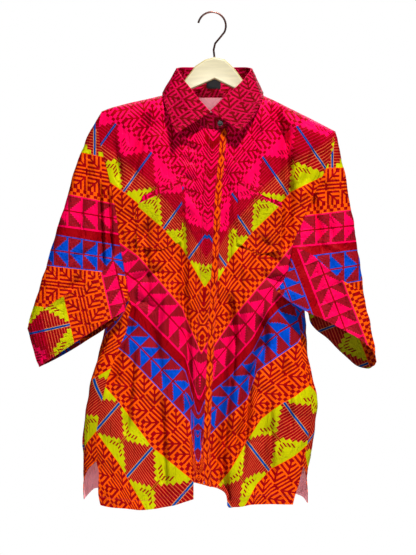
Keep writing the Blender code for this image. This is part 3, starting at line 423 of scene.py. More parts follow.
panelsMade = {
    "left": {
        "shoulderEnd": -212.0, "armholeDrop": 357.0,
        "armholeFront": table("x z face",
            (-212, -188, -1), (-217, -213, -1), (-216, -239, -1), (-205, -276, -1), (-197, -321, -1),
            (-187, -365, -1), (-182, -397, -1), (-178, -435, -1), (-170, -479, -1), (-164, -521, -1),
            (-159, -545, -1),
        ),
        "armholeBack": table("x z face",
            (-212, -188, 1), (-216, -239, 1), (-210, -276, 1), (-205, -321, 1), (-201, -365, 1),
            (-200, -405, 1), (-204, -440, 1), (-206, -470, -1), (-196, -505, -1), (-178, -530, -1),
            (-159, -545, -1),
        ),
        "seam": table("x z",
            (-159, -545), (-162, -591), (-183, -644), (-205, -709), (-219, -773), (-222, -849),
        ),
        "slitFront": table("x z face",
            (-222, -849, -1), (-217, -866, -1), (-218, -927, -1), (-214, -933, -1),
        ),
        "slitBack": table("x z face",
            (-222, -849, -1), (-240, -868, -1), (-246.5, -890, -1), (-246, -923, 1),
        ),
        "hem": table("x z",
            (-214, -933), (-197, -937), (-166, -939), (-139, -942), (-113, -940), (-75, -933),
            (-38, -921),
        ),
    },
    "right": {
        "shoulderEnd": 231.0, "armholeDrop": 300.0,
        "armholeFront": table("x z face",
            (231, -226, -1), (227, -258, -1), (213, -294, -1), (199, -327, -1), (183, -357, -1),
            (176, -384, -1), (159, -412, -1), (147, -454, -1), (142, -492, -1), (142, -526, -1),
        ),
        "armholeBack": table("x z face",
            (231, -226, 1), (227, -258, 1), (213, -294, 1), (199, -327, 1), (188, -357, 1),
            (180, -390, 1), (174, -420, 1), (173, -452, 1), (172, -475, -1), (161, -505, -1),
            (142, -526, -1),
        ),
        "seam": table("x z",
            (142, -526), (156, -568), (165, -602), (166, -631), (174, -682), (185, -728), (181, -796),
            (171, -856),
        ),
        "slitFront": table("x z face",
            (171, -856, -1), (163, -888, -1), (155, -912, -1), (150, -932, -1),
        ),
        "slitBack": table("x z face",
            (171, -856, -1), (176, -878, -1), (178, -900, -1), (178.5, -930, 1),
        ),
        "hem": table("x z",
            (-30, -891), (-5, -897), (12, -902), (25, -912), (27, -936), (50, -936), (72, -931),
            (107, -931), (150, -932),
        ),
    },
    "neckline": table("x front back",
        (-79, -153, -153), (-72, -166, -157), (-58, -186, -159), (-38, -206, -160), (-12, -222, -160),
        (10, -224, -160), (26, -219, -160), (44, -204, -160), (62, -182, -158), (73, -163, -156),
        (79, -152, -152),
    ),
    "backHem": table("x z",
        (-246, -923), (-229, -903), (-218, -904), (-178, -904), (-83, -895), (0, -889), (88, -897),
        (154, -913), (170, -919), (178.5, -930),
    ),
    "neckFront": -222.0, "neckHalfWidth": 79.0, "justInside": 0.9999, "centreRate": 0.85, "neckCurve": 1.3,
    "underlap": 8.0, "underlapIn": 2.3, "underlapEase": 20.0,
}
placketMade = {
    "strip": 21.0, "wall": 2.6, "out": 0.6, "across": 4, "down": 27,
    "edges": table("z left right",
        (-215, -9, 26), (-355, -20, 14), (-498, -26, 8), (-650, -34, 0), (-811, -41, -7), (-895, -38, -5),
        (-925, -38, -5),
    ),
    "hem": table("x z", (-38, -889), (-24, -892), (-5, -898)),
}


def placketEdge(name, z):
    return read(placketMade["edges"], name, z)


def neckline(name, x):
    return read(panelsMade["neckline"], name, x, "x")


def smoother(grid, times, closed):
    # the same cloth with more rows and columns, on smooth curves through its points
    for axis, wraps in ((0, False), (1, closed)):
        parts = times[axis]
        rows = np.moveaxis(grid, axis, 0)
        count = len(rows)
        if wraps:
            rows = np.concatenate([rows[-2:], rows, rows[:3]])
        gap = np.linalg.norm(np.diff(rows[..., :3], axis=0), axis=-1).mean(1)[:, None, None] + 1e-6
        slope = np.diff(rows, axis=0) / gap
        inner = (slope[:-1] * gap[1:] + slope[1:] * gap[:-1]) / (gap[:-1] + gap[1:])
        lean = np.concatenate([slope[:1], inner, slope[-1:]])
        t = (np.arange(parts) / parts)[None, :, None, None]
        leanA, leanB = (lean[:-1] * gap)[:, None], (lean[1:] * gap)[:, None]
        curve = (2 * t**3 - 3 * t**2 + 1) * rows[:-1, None] + (t**3 - 2 * t**2 + t) * leanA
        curve = curve + (3 * t**2 - 2 * t**3) * rows[1:, None] + (t**3 - t**2) * leanB
        curve = curve.reshape(-1, *rows.shape[1:])
        if wraps:
            curve = curve[2 * parts:(2 + count) * parts]
        else:
            curve = np.concatenate([curve, rows[-1:]])
        grid = np.moveaxis(curve, 0, axis)
    return grid


# Creases too small for the solids: where each runs, how deep it is, and how wide on either side.
# A negative depth stands out.
wrinklesMade = {
    "deeper": 2.0,
    "body": table("face x1 z1 x2 z2 depth left right",
        (-1, 116, -168, 138, -240, 8, 10, 6), (-1, 138, -228, 147, -350, 9, 10, 6),
        (-1, 147, -335, 141, -465, 8, 10, 6), (-1, 98, -572, 99, -645, 8, 13, 6),
        (-1, 99, -632, 70, -700, 8, 13, 6), (-1, 70, -686, 55, -860, 7, 13, 6),
        (-1, 34, -536, 43, -628, 7, 9, 4), (-1, 43, -612, 16, -860, 7, 9, 4),
        (-1, 16, -840, 29, -930, 6, 8, 4), (-1, -121, -180, -157, -325, 7, 9, 6),
        (-1, -150, -553, -163, -612, 6, 7, 4), (-1, -162, -598, -197, -716, 6, 7, 4),
        (-1, -58, -385, -60, -560, 5, 5, 10), (-1, -60, -540, -43, -715, 5, 5, 10),
        (-1, -129, -395, -124, -560, 3.5, 5, 7), (-1, -206, -708, -112, -711, -1.4, 3, 3),
        (-1, 36, -710, 174, -706, -1.4, 3, 3), (-1, -62, -246, -30, -262, 2.4, 5, 5),
        (-1, -60, -276, -30, -290, 2.2, 5, 5), (-1, -66, -306, -32, -322, 2.4, 5, 5),
        (-1, -58, -340, -34, -352, 2.0, 5, 5), (-1, -62, -372, -36, -390, 2.4, 5, 5),
        (-1, -172, -470, -112, -392, 4.5, 8, 8), (-1, -160, -512, -96, -486, 4, 8, 8),
        (-1, -156, -540, -104, -560, 4, 8, 8), (-1, 136, -486, 86, -424, 4.5, 8, 8),
        (-1, 138, -512, 92, -500, 4, 8, 8), (-1, -150, -640, -166, -800, 5, 9, 5),
        (-1, -118, -590, -96, -700, 3.5, 9, 9), (-1, 140, -650, 150, -800, 4.5, 10, 5),
        (-1, -86, -520, -96, -640, -3.5, 8, 8), (-1, 60, -470, 66, -600, -3.5, 8, 8),
        (-1, 24, -300, 30, -520, 3, 6, 9), (-1, -190, -240, -176, -330, 3.5, 8, 8),
        (-1, -95, -196, -80, -290, 2.5, 8, 8), (-1, 80, -196, 72, -300, 2.5, 8, 8),
        (-1, 196, -250, 172, -330, 3.5, 8, 8), (-1, -100, -730, -92, -900, 5, 10, 6),
        (-1, 108, -730, 112, -900, 4.5, 9, 5), (1, -190, -706, 150, -712, -1.4, 3, 3),
        (1, -150, -240, -110, -420, 4, 12, 12), (1, 150, -250, 104, -430, 4, 12, 12),
        (1, -20, -420, -34, -700, 3.5, 12, 12), (1, 20, -640, 30, -880, 4.5, 12, 12),
        (1, -130, -640, -128, -890, 4.5, 11, 11), (1, 130, -560, 120, -880, 4.5, 11, 11),
        (1, -170, -470, -110, -520, 4, 9, 9), (1, 150, -470, 100, -520, 4, 9, 9),
    ),
    "sleeve": table("face x1 z1 x2 z2 depth left right",
        (-1, -214, -330, -208, -490, 8, 8, 3), (-1, -198, -345, -192, -462, 6, 7, 3),
        (-1, -290, -476, -232, -452, 2.5, 5, 5), (-1, -236, -260, -262, -430, 3.5, 10, 10),
        (-1, -300, -560, -250, -500, 4, 9, 9), (-1, -240, -500, -216, -420, 3.5, 8, 8),
        (-1, 186, -330, 206, -452, 7, 4, 8), (-1, 208, -316, 226, -440, 3.5, 8, 8),
        (-1, 190, -424, 262, -466, -2, 4, 4), (-1, 236, -500, 262, -600, 3.5, 9, 9),
        (-1, 190, -480, 214, -560, 3, 8, 8), (1, -240, -300, -280, -500, 4, 12, 12),
        (1, -215, -420, -250, -560, 4, 12, 12), (1, 210, -320, 246, -480, 4, 12, 12),
        (1, 192, -440, 232, -600, 4, 12, 12),
    ),
    "waves": table("long turn depth start",
        (118, 0.35, 0.9, 0.4), (87, 1.9, 0.8, 2.1), (64, 2.6, 0.65, 4.0), (52, 0.9, 0.5, 1.2),
        (41, 1.5, 0.38, 5.1), (33, 2.2, 0.28, 3.3),
    ),
}


def smallWrinkles(points, facing, kind):
    x, z = points[..., 0], points[..., 2]
    face = np.where(facing[..., 1] < 0, -1, 1)
    depth = np.zeros(x.shape)
    for length, turn, deep, start in zip(*wrinklesMade["waves"].values()):
        way = x * math.cos(turn) + z * math.sin(turn)
        depth += deep * np.sin(way * 2 * math.pi / length + start + 1.4 * np.sin(z / 97.0 + start) + face)
    for rowFace, x1, z1, x2, z2, deep, left, right in zip(*wrinklesMade.get(kind, {}).values()):
        dx, dz = x2 - x1, z2 - z1
        long = math.hypot(dx, dz)
        along = ((x - x1) * dx + (z - z1) * dz) / long
        beside = ((x - x1) * dz - (z - z1) * dx) / long
        past = np.maximum(np.maximum(-along, along - long), 0) / (left + right) * 2
        share = np.clip(along / long, 0, 1)
        fade = np.clip(4 * np.minimum(share, 1 - share) + 0.3, 0, 1)
        width = np.where(beside > 0, left, right)
        hit = wrinklesMade["deeper"] * deep * fade * np.exp(-((beside / width) ** 2) - past ** 2)
        depth += np.where(face == rowFace, hit, 0)
    return depth


def inFromEdges(down, over, sides):
    # how far each point lies in from the nearest of the named edges, and how far along it
    ways = {"top": (down, over), "foot": (down[-1:] - down, over), "left": (over, down),
            "right": (over[:, -1:] - over, down)}
    inward, along = np.full(down.shape, 500.0), over
    for side in sides:
        far, way = ways[side]
        along = np.where(far < inward, way, along)
        inward = np.minimum(inward, far)
    return inward, along


# The lines between the print's bands, as heights across each piece, by their place on the print.
bandLines = {
    "front_left": {
        178: table("x z",
            (-197, -321), (-157, -350), (-105, -395), (-57, -450), (-16, -522),
        ),
        257: table("x z", (-178, -436), (-142, -462), (-60, -559), (-24, -644)),
        334: table("x z", (-145, -587), (-100, -633), (-54, -678), (-31, -756)),
        393: table("x z", (-163, -650), (-140, -674), (-45, -775), (-34, -846)),
        472: table("x z", (-204, -711), (-179, -739), (-117, -823), (-38, -887)),
        571: table("x z", (-221, -796), (-178, -855), (-129, -940)),
    },
    "front_right": {
        178: table("x z", (208, -310), (147, -340), (82, -403), (33, -464), (1, -522)),
        257: table("x z", (155, -433), (116, -484), (75, -532), (35, -581), (-7, -644)),
        334: table("x z",
            (160, -543), (126, -559), (105, -581), (73, -642), (35, -686), (-4, -718),
        ),
        393: table("x z",
            (178, -597), (159, -627), (120, -654), (83, -680), (64, -732), (12, -779), (-9, -802),
        ),
        472: table("x z",
            (185, -705), (153, -729), (129, -741), (90, -770), (64, -811), (29, -872), (10, -893),
        ),
        571: table("x z", (190, -809), (153, -840), (107, -866), (81, -893), (62, -929)),
    },
    "sleeve_left": {
        178: table("x z", (-252, -265), (-205, -275)),
        257: table("x z", (-274, -345), (-197, -361)),
        318: table("x z", (-294, -406), (-195, -419)),
        334: table("x z", (-298, -421), (-182, -441)),
        393: table("x z", (-317, -480), (-209, -492)),
    },
    "sleeve_right": {
        178: table("x z", (214, -295), (246, -294)),
        257: table("x z", (176, -385), (261, -374)),
        318: table("x z", (149, -446), (272, -435)),
        334: table("x z", (164, -464), (275, -449)),
        393: table("x z", (256, -513), (283, -508)),
    },
}
printPlaces = {
    "front": {
        "outerSlope": 0.75, "innerSlope": 1.4, "stretch": 1.2, "centre": -16.0,
        "upper": 178.0, "lower": 472.0,
        "front_left": ((-0.841, -0.604, 59.3), (-0.67, -0.579, 84.8)),
        "front_right": ((-0.857, -0.588, 66.6), (-0.72, -0.54, 113.2)),
    },
    "sleeve": {"outerSlope": 0.1, "innerSlope": 0.18, "stretch": 1.0},
    "back": {"from": -195.0},
    "cuff_left": {"x": -205.0, "z": -530.0, "steep": 77.0, "from": 257.0},
    "cuff_right": {"x": 256.3, "z": -535.8, "steep": 69.0, "from": 257.0},
    "pocket": {"over": 9.0, "down": 14.0},
    "pastEnds": 300, "pastBands": 400,
}


def acrossBands(piece, x, z, values):
    side = -1 if piece.endswith("left") else 1
    past, beyond = printPlaces["pastEnds"], printPlaces["pastBands"]
    first, final = (
        past * (values["outerSlope"] if side == end else -values["innerSlope"]) for end in (-1, 1)
    )
    marks, heights = list(bandLines[piece]), []
    for rows in bandLines[piece].values():
        line = pairs(rows)[np.argsort(rows["x"])]
        line = np.concatenate([[line[0] + (-past, first)], line, [line[-1] + (past, final)]])
        heights.append(np.interp(x, line[:, 0], line[:, 1]))
    marks = [marks[0] - beyond] + marks + [marks[-1] + beyond]
    beyond = beyond * values["stretch"]
    heights = [heights[0] + beyond] + heights + [heights[-1] - beyond]
    across = np.full(x.shape, float(marks[0]))
    for k in range(len(marks) - 1):
        share = (heights[k] - z) / np.maximum(heights[k] - heights[k + 1], 1.0)
        across = np.where(z < heights[k], marks[k] + share * (marks[k + 1] - marks[k]), across)
    return across


def onFront(name, x, z):
    # along the bands of a front: the cross lines lean a little less above than below
    values = printPlaces["front"]
    across = acrossBands(name, x, z, values)
    out = np.abs(x - values["centre"])
    upper, lower = (way[0] * out + way[1] * z + way[2] for way in values[name])
    share = np.clip((across - values["upper"]) / (values["lower"] - values["upper"]), 0, 1)
    return upper + share * (lower - upper), across


def printOn(name, points, down, over):
    # the place on the print of every point of a piece: along a band and across the bands
    x, z = points[..., 0], points[..., 2]
    kind = name.split("_")[0]
    side = -1 if name.endswith("left") else 1
    if kind == "front":
        return onFront(name, x, z)
    if kind == "placket":
        middle = placketEdge("left", z) + placketMade["strip"] / 2
        return onFront("front_left", middle - np.abs(x - middle), z)
    if kind == "pocket":
        shift = printPlaces["pocket"]
        return onFront("front_" + sideNames[side], x + side * shift["over"], z + shift["down"])
    if kind == "sleeve":
        return -side * x, acrossBands(name, x, z, printPlaces["sleeve"])
    if kind == "cuff":
        line = printPlaces[name]
        x, z = x - line["x"], z - line["z"]
        sine, cosine = math.sin(math.radians(line["steep"])), math.cos(math.radians(line["steep"]))
        return x * cosine - z * sine, line["from"] - side * (x * sine + z * cosine)
    if kind == "back":
        row = len(x) // 2
        centre = over[:, np.argmin(np.abs(x[row]) + 1000 * (points[row, :, 1] < 0))][:, None]
        flat = np.abs(over - centre)
        root = math.sqrt(0.5)
        return (-flat - z) * root, (flat - z) * root + printPlaces["back"]["from"]
    return over, down


# Two of these numbers are painted shade: the darkening of the collar and the cuffs' insides, and the dark
# line along the armhole seam.
clothLooks = {
    "roughness": 0.52, "specular": 0.04, "bump": 0.9,
    "patchScale": 9.0, "patchDepth": 0.16, "threadScale": 420.0, "threadDepth": 0.16,
    "crumpleScale": 26.0, "crumple": 3.2, "backPale": 0.88, "backColour": (0.95, 0.42, 0.48, 1),
    "seamWide": 1.3, "seamPaintedShade": 0.55, "stitchWide": 0.45, "stitchLength": 3.2,
    "stitchColour": (0.75, 0.02, 0.05, 1), "collarRow": 0.0276, "liningFrom": 0.205, "collarAndLiningPaintedShade": 0.52,
    "pocketStrip": 11.0, "pocketStripFrom": 0.008,
}
printTree = printGroup()
print("the print is drawn")


def chainBorder(tree, colour, fromEdge, along):
    # the narrow border on the placket: diamonds, crossings and pairs of leaves on dark red
    side = (fromEdge - printMade["chainWide"] / 2).size()
    place = along.repeat(printMade["chainRepeat"])
    orange = (side * 1.1 + (place - 12.0).size() * 0.6).between(2.7, 7.6)
    for middle in (29.0, 40.5):
        leaf = (side - 3.8 + (place - middle) * 0.28).size() + (place - middle).size() * 0.3
        orange = orange.most(leaf.under(2.6))
    border = fromEdge.under(printMade["chainWide"])
    colour = coloured(tree, colour, border, printMade["darkRed"])
    return coloured(tree, colour, border * orange, printMade["orange"])


def bumped(tree, shader, height, strength, distance):
    bump = node(tree, "Bump", {"Strength": strength, "Distance": distance, "Height": height})
    put(tree, shader, {"Normal": bump.outputs[0]})


def clothMaterial(name, kind, stitches=(), inside=False):
    # printed cotton: the print, uneven dye, threads, a crumpled surface and rows of stitches, with painted
    # shade along the armhole seam, on the collar and inside the cuffs
    material, tree, shader = newMaterial(name)
    looks = clothLooks
    parts = []
    for label in ("print", "edges"):
        layer = node(tree, "UVMap", {}, uv_map=label)
        split = node(tree, "SeparateXYZ", {0: layer.outputs[0]})
        parts += [Thread(tree, split.outputs[0]), Thread(tree, split.outputs[1])]
    along, across, inward, beside = parts
    if kind == "collar":    # rows of the comb blocks alone
        across = across.repeat(looks["collarRow"])
    if kind == "lining":    # another part of the print
        across = across + looks["liningFrom"]
    if kind == "pocket":    # a strip of comb blocks under the slanting top
        strip = inward.under(looks["pocketStrip"] * mm)
        along = along * strip.flipped() + beside * strip
        across = across * strip.flipped() + (inward + looks["pocketStripFrom"]) * strip
    inward, beside = inward * 1000.0, beside * 1000.0
    place = node(tree, "CombineXYZ", {0: along, 1: across})
    colour = node(tree, "Group", {0: place.outputs[0]}, node_tree=printTree).outputs[0]
    if kind == "placket":
        colour = chainBorder(tree, colour, inward, beside)

    patch, thread, crumple = (
        Thread(tree, node(tree, "TexNoise", {"Scale": looks[scale], "Detail": 3.0}).outputs[0])
        for scale in ("patchScale", "threadScale", "crumpleScale")
    )
    shade = (patch - 0.5) * looks["patchDepth"] + 1.0
    shade = shade * ((thread - 0.5) * looks["threadDepth"] + 1.0)
    # painted shade: a dark line along the armhole seam, where the seam's groove lies in shade
    if kind == "sleeve":    # the seam round the armhole
        shade = shade * (inward.under(looks["seamWide"]) * -looks["seamPaintedShade"] + 1.0)
    # painted shade: the collar and the cuffs' insides are darker than the same cloth elsewhere
    if kind in ("collar", "lining"):
        shade = shade * looks["collarAndLiningPaintedShade"]
    colour = node(tree, "VectorMath", {0: colour, "Scale": shade}, operation="SCALE").outputs[0]
    if inside:    # the pale back of the cloth, where the print shows through faintly
        colour = coloured(tree, colour, shade * looks["backPale"], looks["backColour"])
    crumple = crumple - (crumple - 0.5).size() * 1.6
    height = thread * 0.12 + crumple * looks["crumple"]
    for inset in stitches:
        far = (inward - inset).size()
        dash = far.under(looks["stitchWide"]) * beside.repeat(looks["stitchLength"]).over(1.0)
        colour = coloured(tree, colour, dash * 0.7, looks["stitchColour"])
        height = height - far.under(looks["stitchWide"] * 2.4) * 0.5 + dash * 0.4
    put(tree, shader, {"Base Color": colour, "Roughness": looks["roughness"],
                       "Specular IOR Level": looks["specular"]})
    bumped(tree, shader, height, looks["bump"], 0.001)
    return material


def plainMaterial(name, colour, roughness, metallic=0.0, grain=(1, 1, 1), scale=200.0, depth=0.1, coat=0.0,
                  paintedRimShade=None):
    # one colour with its own grain, for the label, the button, the wood and the wire, with painted shade on
    # the rounded edges where a colour for it is given
    material, tree, shader = newMaterial(name)
    spot = node(tree, "TexCoord", {}).outputs["Object"]
    stretch = node(tree, "VectorMath", {0: spot, 1: grain}, operation="MULTIPLY")
    noise = node(tree, "TexNoise", {"Scale": scale, "Detail": 5.0, "Vector": stretch.outputs[0]})
    value = Thread(tree, noise.outputs[0])
    ground = node(tree, "RGB", {}).outputs[0]
    ground.default_value = colour
    darker = tuple(part * (1 - depth) for part in colour[:3]) + (1,)
    mixed = coloured(tree, ground, (value - 0.35) * 2.2, darker)
    # painted shade: the rounded edges, where the surface turns sideways, are coloured darker
    if paintedRimShade:    # a darker tone on the rounded edges
        normal = node(tree, "SeparateXYZ", {0: node(tree, "NewGeometry", {}).outputs["Normal"]})
        mixed = coloured(tree, mixed, Thread(tree, normal.outputs[1]).size().under(0.93) * 0.8, paintedRimShade)
    put(tree, shader, {"Base Color": mixed, "Roughness": value * 0.12 + (roughness - 0.06),
                       "Metallic": metallic, "Coat Weight": coat})
    bumped(tree, shader, value, 0.25, 0.0003)
    return material


finishes = {
    "body": clothMaterial("body_print", "body", (18.0,)),
    "sleeve": clothMaterial("sleeve_print", "sleeve"),
    "cuff": clothMaterial("cuff_print", "body", (2.0,)),
    "cuffInside": clothMaterial("cuff_lining_print", "lining"),
    "placket": clothMaterial("placket_print", "placket", (1.6, 13.0, 33.0)),
    "pocket": clothMaterial("pocket_print", "pocket", (10.0,)),
    "collar": clothMaterial("collar_print", "collar", (5.0,)),
    "back": clothMaterial("cloth_back", "body", (), True),
    "label": plainMaterial("label_tape", (0.003, 0.003, 0.004, 1), 0.95, scale=600.0, depth=0.4),
    "button": plainMaterial("button_resin", (0.03, 0.012, 0.016, 1), 0.25, coat=0.5),
    # the wood's darker olive on its rounded edges is painted shade
    "wood": plainMaterial("pale_wood", (0.74, 0.67, 0.44, 1), 0.38, grain=(0.12, 1, 1), scale=160.0,
                          depth=0.18, coat=0.35, paintedRimShade=(0.42, 0.34, 0.12, 1)),
    "wire": plainMaterial("copper_wire", (0.36, 0.16, 0.13, 1), 0.32, metallic=1.0, scale=300.0, depth=0.3),
}
print("the finishes are mixed")

# For each piece of cloth: how much finer than its pattern it is down and across, the edges that its stitches,
# seam or border are measured from, its kind of creases and how much of them it takes, its finish outside and
# inside, and the width, length and area of the flat piece in metres.
clothPieces = {
    "front_left": ((6, 10), ["foot"], "body", 1.0, "body", "back", (0.24, 0.80, 0.13)),
    "front_right": ((6, 10), ["foot"], "body", 1.0, "body", "back", (0.27, 0.80, 0.15)),
    "back": ((5, 5), ["foot"], "body", 1.0, "body", "back", (0.60, 0.80, 0.34)),
    "sleeve_left": ((6, 7), ["top"], "sleeve", 1.0, "sleeve", "cuffInside", (0.42, 0.36, 0.066)),
    "sleeve_right": ((6, 7), ["top"], "sleeve", 1.0, "sleeve", "cuffInside", (0.38, 0.32, 0.045)),
    "cuff_left": ((6, 7), ["foot"], "sleeve", 1.0, "cuff", "cuffInside", (0.44, 0.10, 0.035)),
    "cuff_right": ((6, 7), ["foot"], "sleeve", 1.0, "cuff", "cuffInside", (0.42, 0.12, 0.035)),
    "collar_stand": ((4, 3), ["top"], "", 1.0, "collar", "collar", (0.40, 0.06, 0.02)),
    "collar_leaf": ((5, 4), ["foot", "left", "right"], "leaf", 0.5, "collar", "collar", (0.44, 0.09, 0.028)),
    "placket": ((5, 5), ["right"], "body", 0.8, "placket", "back", (0.035, 0.68, 0.023)),
    "pocket_left": ((5, 5), ["top"], "body", 0.8, "pocket", "back", (0.09, 0.13, 0.0095)),
    "pocket_right": ((5, 5), ["top"], "body", 0.8, "pocket", "back", (0.09, 0.13, 0.0095)),
    "neck_label": ((3, 3), [], "", 1.0, "label", "label", (0.026, 0.018, 0.00046)),
}


def dress(piece, name):
    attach(piece, "root")
    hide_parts(name)
    return piece


def smoothed(mesh, sharpest):
    mesh.validate()
    mesh.shade_smooth()
    mesh.set_sharp_from_angle(angle=math.radians(sharpest))


def addCloth(name, grid, normal, wall, closed=False):
    times, sides, wrinkles, share, outside, inside, cut = clothPieces[name]
    fine = smoother(np.concatenate([grid, normal], 2), times, closed)
    points, facing = fine[..., :3].copy(), fine[..., 3:]
    for place in (points,) if closed else (points, points.swapaxes(0, 1)):    # closes the seams' gaps
        for this, that in ((0, 1), (-1, -2)):
            place[this] += toward(place[this] - place[that], clothMade["overlap"])
    facing = toward(facing)
    down, over = runLength(points, 0), runLength(points, 1)
    border = np.minimum(down, down[-1:] - down)
    if not closed:
        border = np.minimum(border, np.minimum(over, over[:, -1:] - over))
    if wrinkles:
        hold = np.clip(border / clothMade["creasesWithin"], 0, 1)
        depth = eased(smallWrinkles(points, facing, wrinkles), hold)
        points = points - facing * (depth * share)[..., None]
        creased = normalsOf(points, closed)    # the wall stays even down the sides of the creases
        creased *= np.sign((creased * facing).sum())
        facing = toward(facing + (hold ** 2)[..., None] * (creased - facing))
    rows, columns = points.shape[:2]
    count = rows * columns
    number = np.arange(count).reshape(rows, columns)
    last = columns if closed else columns - 1
    a, b = number[:-1, :last], np.roll(number, -1, 1)[:-1, :last]
    sheet = np.stack([a, b, b + columns, a + columns], -1).reshape(-1, 4)
    borders = [(b[0], a[0]), (a[-1] + columns, b[-1] + columns)]
    if not closed:
        borders += [(number[:-1, 0], number[1:, 0]), (number[1:, -1], number[:-1, -1])]
    rims = [np.stack([p, q, q + count, p + count], 1) for p, q in borders]
    faces = np.concatenate([sheet, sheet[:, ::-1] + count, *rims])
    outer, inner = ((points + way * facing * wall / 2).reshape(-1, 3) for way in (1, -1))
    a, b, c, d = (outer[sheet[:, k]] for k in range(4))
    if np.einsum("ij,ij->i", np.cross(c - a, d - b), facing.reshape(-1, 3)[sheet[:, 0]]).sum() < 0:
        faces = faces[:, ::-1]
    mesh = bpy.data.meshes.new(name)
    mesh.from_pydata((np.concatenate([outer, inner]) * mm).tolist(), [], faces.tolist())
    corners = np.empty(len(mesh.loops), dtype=np.int32)
    mesh.loops.foreach_get("vertex_index", corners)
    maps = {"print": printOn(name, points, down, over), "edges": inFromEdges(down, over, sides)}
    for label, places in maps.items():
        flat = np.stack([part.reshape(-1) for part in places], 1) * mm
        layer = mesh.uv_layers.new(name=label)
        layer.data.foreach_set("uv", flat[corners % count].astype(np.float32).ravel())
    for finish in (outside, inside):
        mesh.materials.append(finishes[finish])
    which = np.zeros(len(faces), dtype=np.int32)
    which[len(sheet):2 * len(sheet)] = 1
    mesh.polygons.foreach_set("material_index", which)
    smoothed(mesh, clothMade["sharpest"])
    piece = dress(placed(name + "_cloth", mesh), name)


def edge(rows, shares, overRight):
    face = rows.get("face", -np.ones_like(rows["x"]))
    turn = turnAt(rows["x"], rows["z"], face)
    if overRight:
        turn = np.where(face < 0, turn + 2 * math.pi, turn)
    line = walk(np.stack([turn * bodyMade["turnScale"], rows["z"]], 1), shares)
    return line / (bodyMade["turnScale"], 1)


def sideEdge(own, face, overRight=False):
    parts = (("armhole" + face, armRows), ("seam", seamRows), ("slit" + face, slitRows))
    return np.concatenate([edge(own[name], rows, overRight) for name, rows in parts])


def topEdge(x, face):
    neck = np.abs(x) < panelsMade["neckHalfWidth"]
    z = np.where(neck, neckline("front" if face < 0 else "back", x), ridge(x))
    return np.stack([turnAt(x, z, face), z], 1)


def hemEdge(points, face, parts):
    x, z = walk(points, np.linspace(0, 1, parts + 1)).T
    return np.stack([turnAt(x, z, np.full(len(x), face)), z], 1)


def rowShares(side):
    return (side[:, 1] - side[0, 1]) / (side[-1, 1] - side[0, 1])


def spanned(left, right, top, bottom, down):
    s = np.linspace(0, 1, len(top))[None, :, None]
    t = down[:, None, None]
    sides = (1 - s) * left[:, None] + s * right[:, None]
    ends = (1 - t) * top[None] + t * bottom[None]
    corners = (1 - t) * ((1 - s) * top[0] + s * top[-1]) + t * ((1 - s) * bottom[0] + s * bottom[-1])
    return sides + ends - corners


def centreEdge(xOf, topZ, bottomZ, armholeDrop):
    upper = topZ - panelsMade["centreRate"] * armholeDrop * armRows
    lower = np.linspace(upper[-1], bottomZ, len(seamRows) + len(slitRows) + 1)[1:]
    z = np.concatenate([upper, lower])
    return np.stack([turnAt(xOf(z), z, -1), z], 1)


def normalsOf(grid, closed=False):
    wide = np.concatenate([grid[:, -1:], grid, grid[:, :1]], 1) if closed else grid
    across = np.gradient(wide, axis=1)
    if closed:
        across = across[:, 1:-1]
    normal = toward(np.cross(across, np.gradient(grid, axis=0)))
    middle = grid.mean(1, keepdims=True) if closed else np.array([0.0, 0.0, 1.0]) * grid
    if (normal * (grid - middle)).sum() < 0:
        normal = -normal
    return normal


def normalsTo(face, grid, row, column):
    # the normals of a sheet, turned so that the one at the row and column points to a face
    normal = normalsOf(grid)
    return normal if normal[row, column, 1] * face > 0 else -normal


def pullIn(grid, side, distance):
    this, that = {"right": (-1, -2), "left": (0, 1), "top": (0, 1), "bottom": (-1, -2)}[side]
    lines = grid.swapaxes(0, 1) if side in ("left", "right") else grid
    lines[this] += toward(lines[that] - lines[this], distance)


def uprightRidge(grid, normal, columns):
    along = np.gradient(grid[0], axis=0)[columns]
    up = np.stack([-along[:, 2], 0 * along[:, 0], along[:, 0]], 1)
    up *= np.sign(up[:, 2:])
    normal[0, columns] = toward(up)


def frontPanel(side):
    own = panelsMade[sideNames[side]]
    underlap = panelsMade["underlap"] if side > 0 else 0.0

    def centreX(z):
        return placketEdge("left", z) + underlap

    outer = sideEdge(own, "Front")
    neck = side * panelsMade["neckHalfWidth"]
    topX = float(centreX(panelsMade["neckFront"]))
    quarter = np.linspace(0, math.pi / 2, neckParts + 1)[1:]
    x = np.concatenate([
        np.linspace(own["shoulderEnd"], neck, shoulderParts + 1),
        neck + (topX - neck) * np.sin(quarter) ** panelsMade["neckCurve"],
    ])
    x[shoulderParts] = neck * panelsMade["justInside"]
    top = topEdge(x, -1)
    hem = pairs(own["hem"])[::-side]
    centre = centreEdge(centreX, top[-1, 1], hem[-1, 1], own["armholeDrop"])
    bottom = hemEdge(hem, -1, shoulderParts + neckParts)
    where = spanned(outer, centre, top, bottom, rowShares(outer))
    grid = body(where[..., 0], where[..., 1])
    if side > 0:
        past = grid[..., 0] - placketEdge("right", grid[..., 2])
        ease = np.clip(1 - past / panelsMade["underlapEase"], 0, 1)
        grid[..., 1] += eased(panelsMade["underlapIn"], ease)
    else:
        pullIn(grid, "right", clothMade["seamGap"])
    pullIn(grid[len(armRows) - 1:], "left", clothMade["seamGap"])
    normal = normalsTo(-1, grid, 10, 5)
    uprightRidge(grid, normal, slice(0, shoulderParts + 1))
    addCloth("front_" + sideNames[side], grid, normal, clothMade["layer"])
    return grid, normal


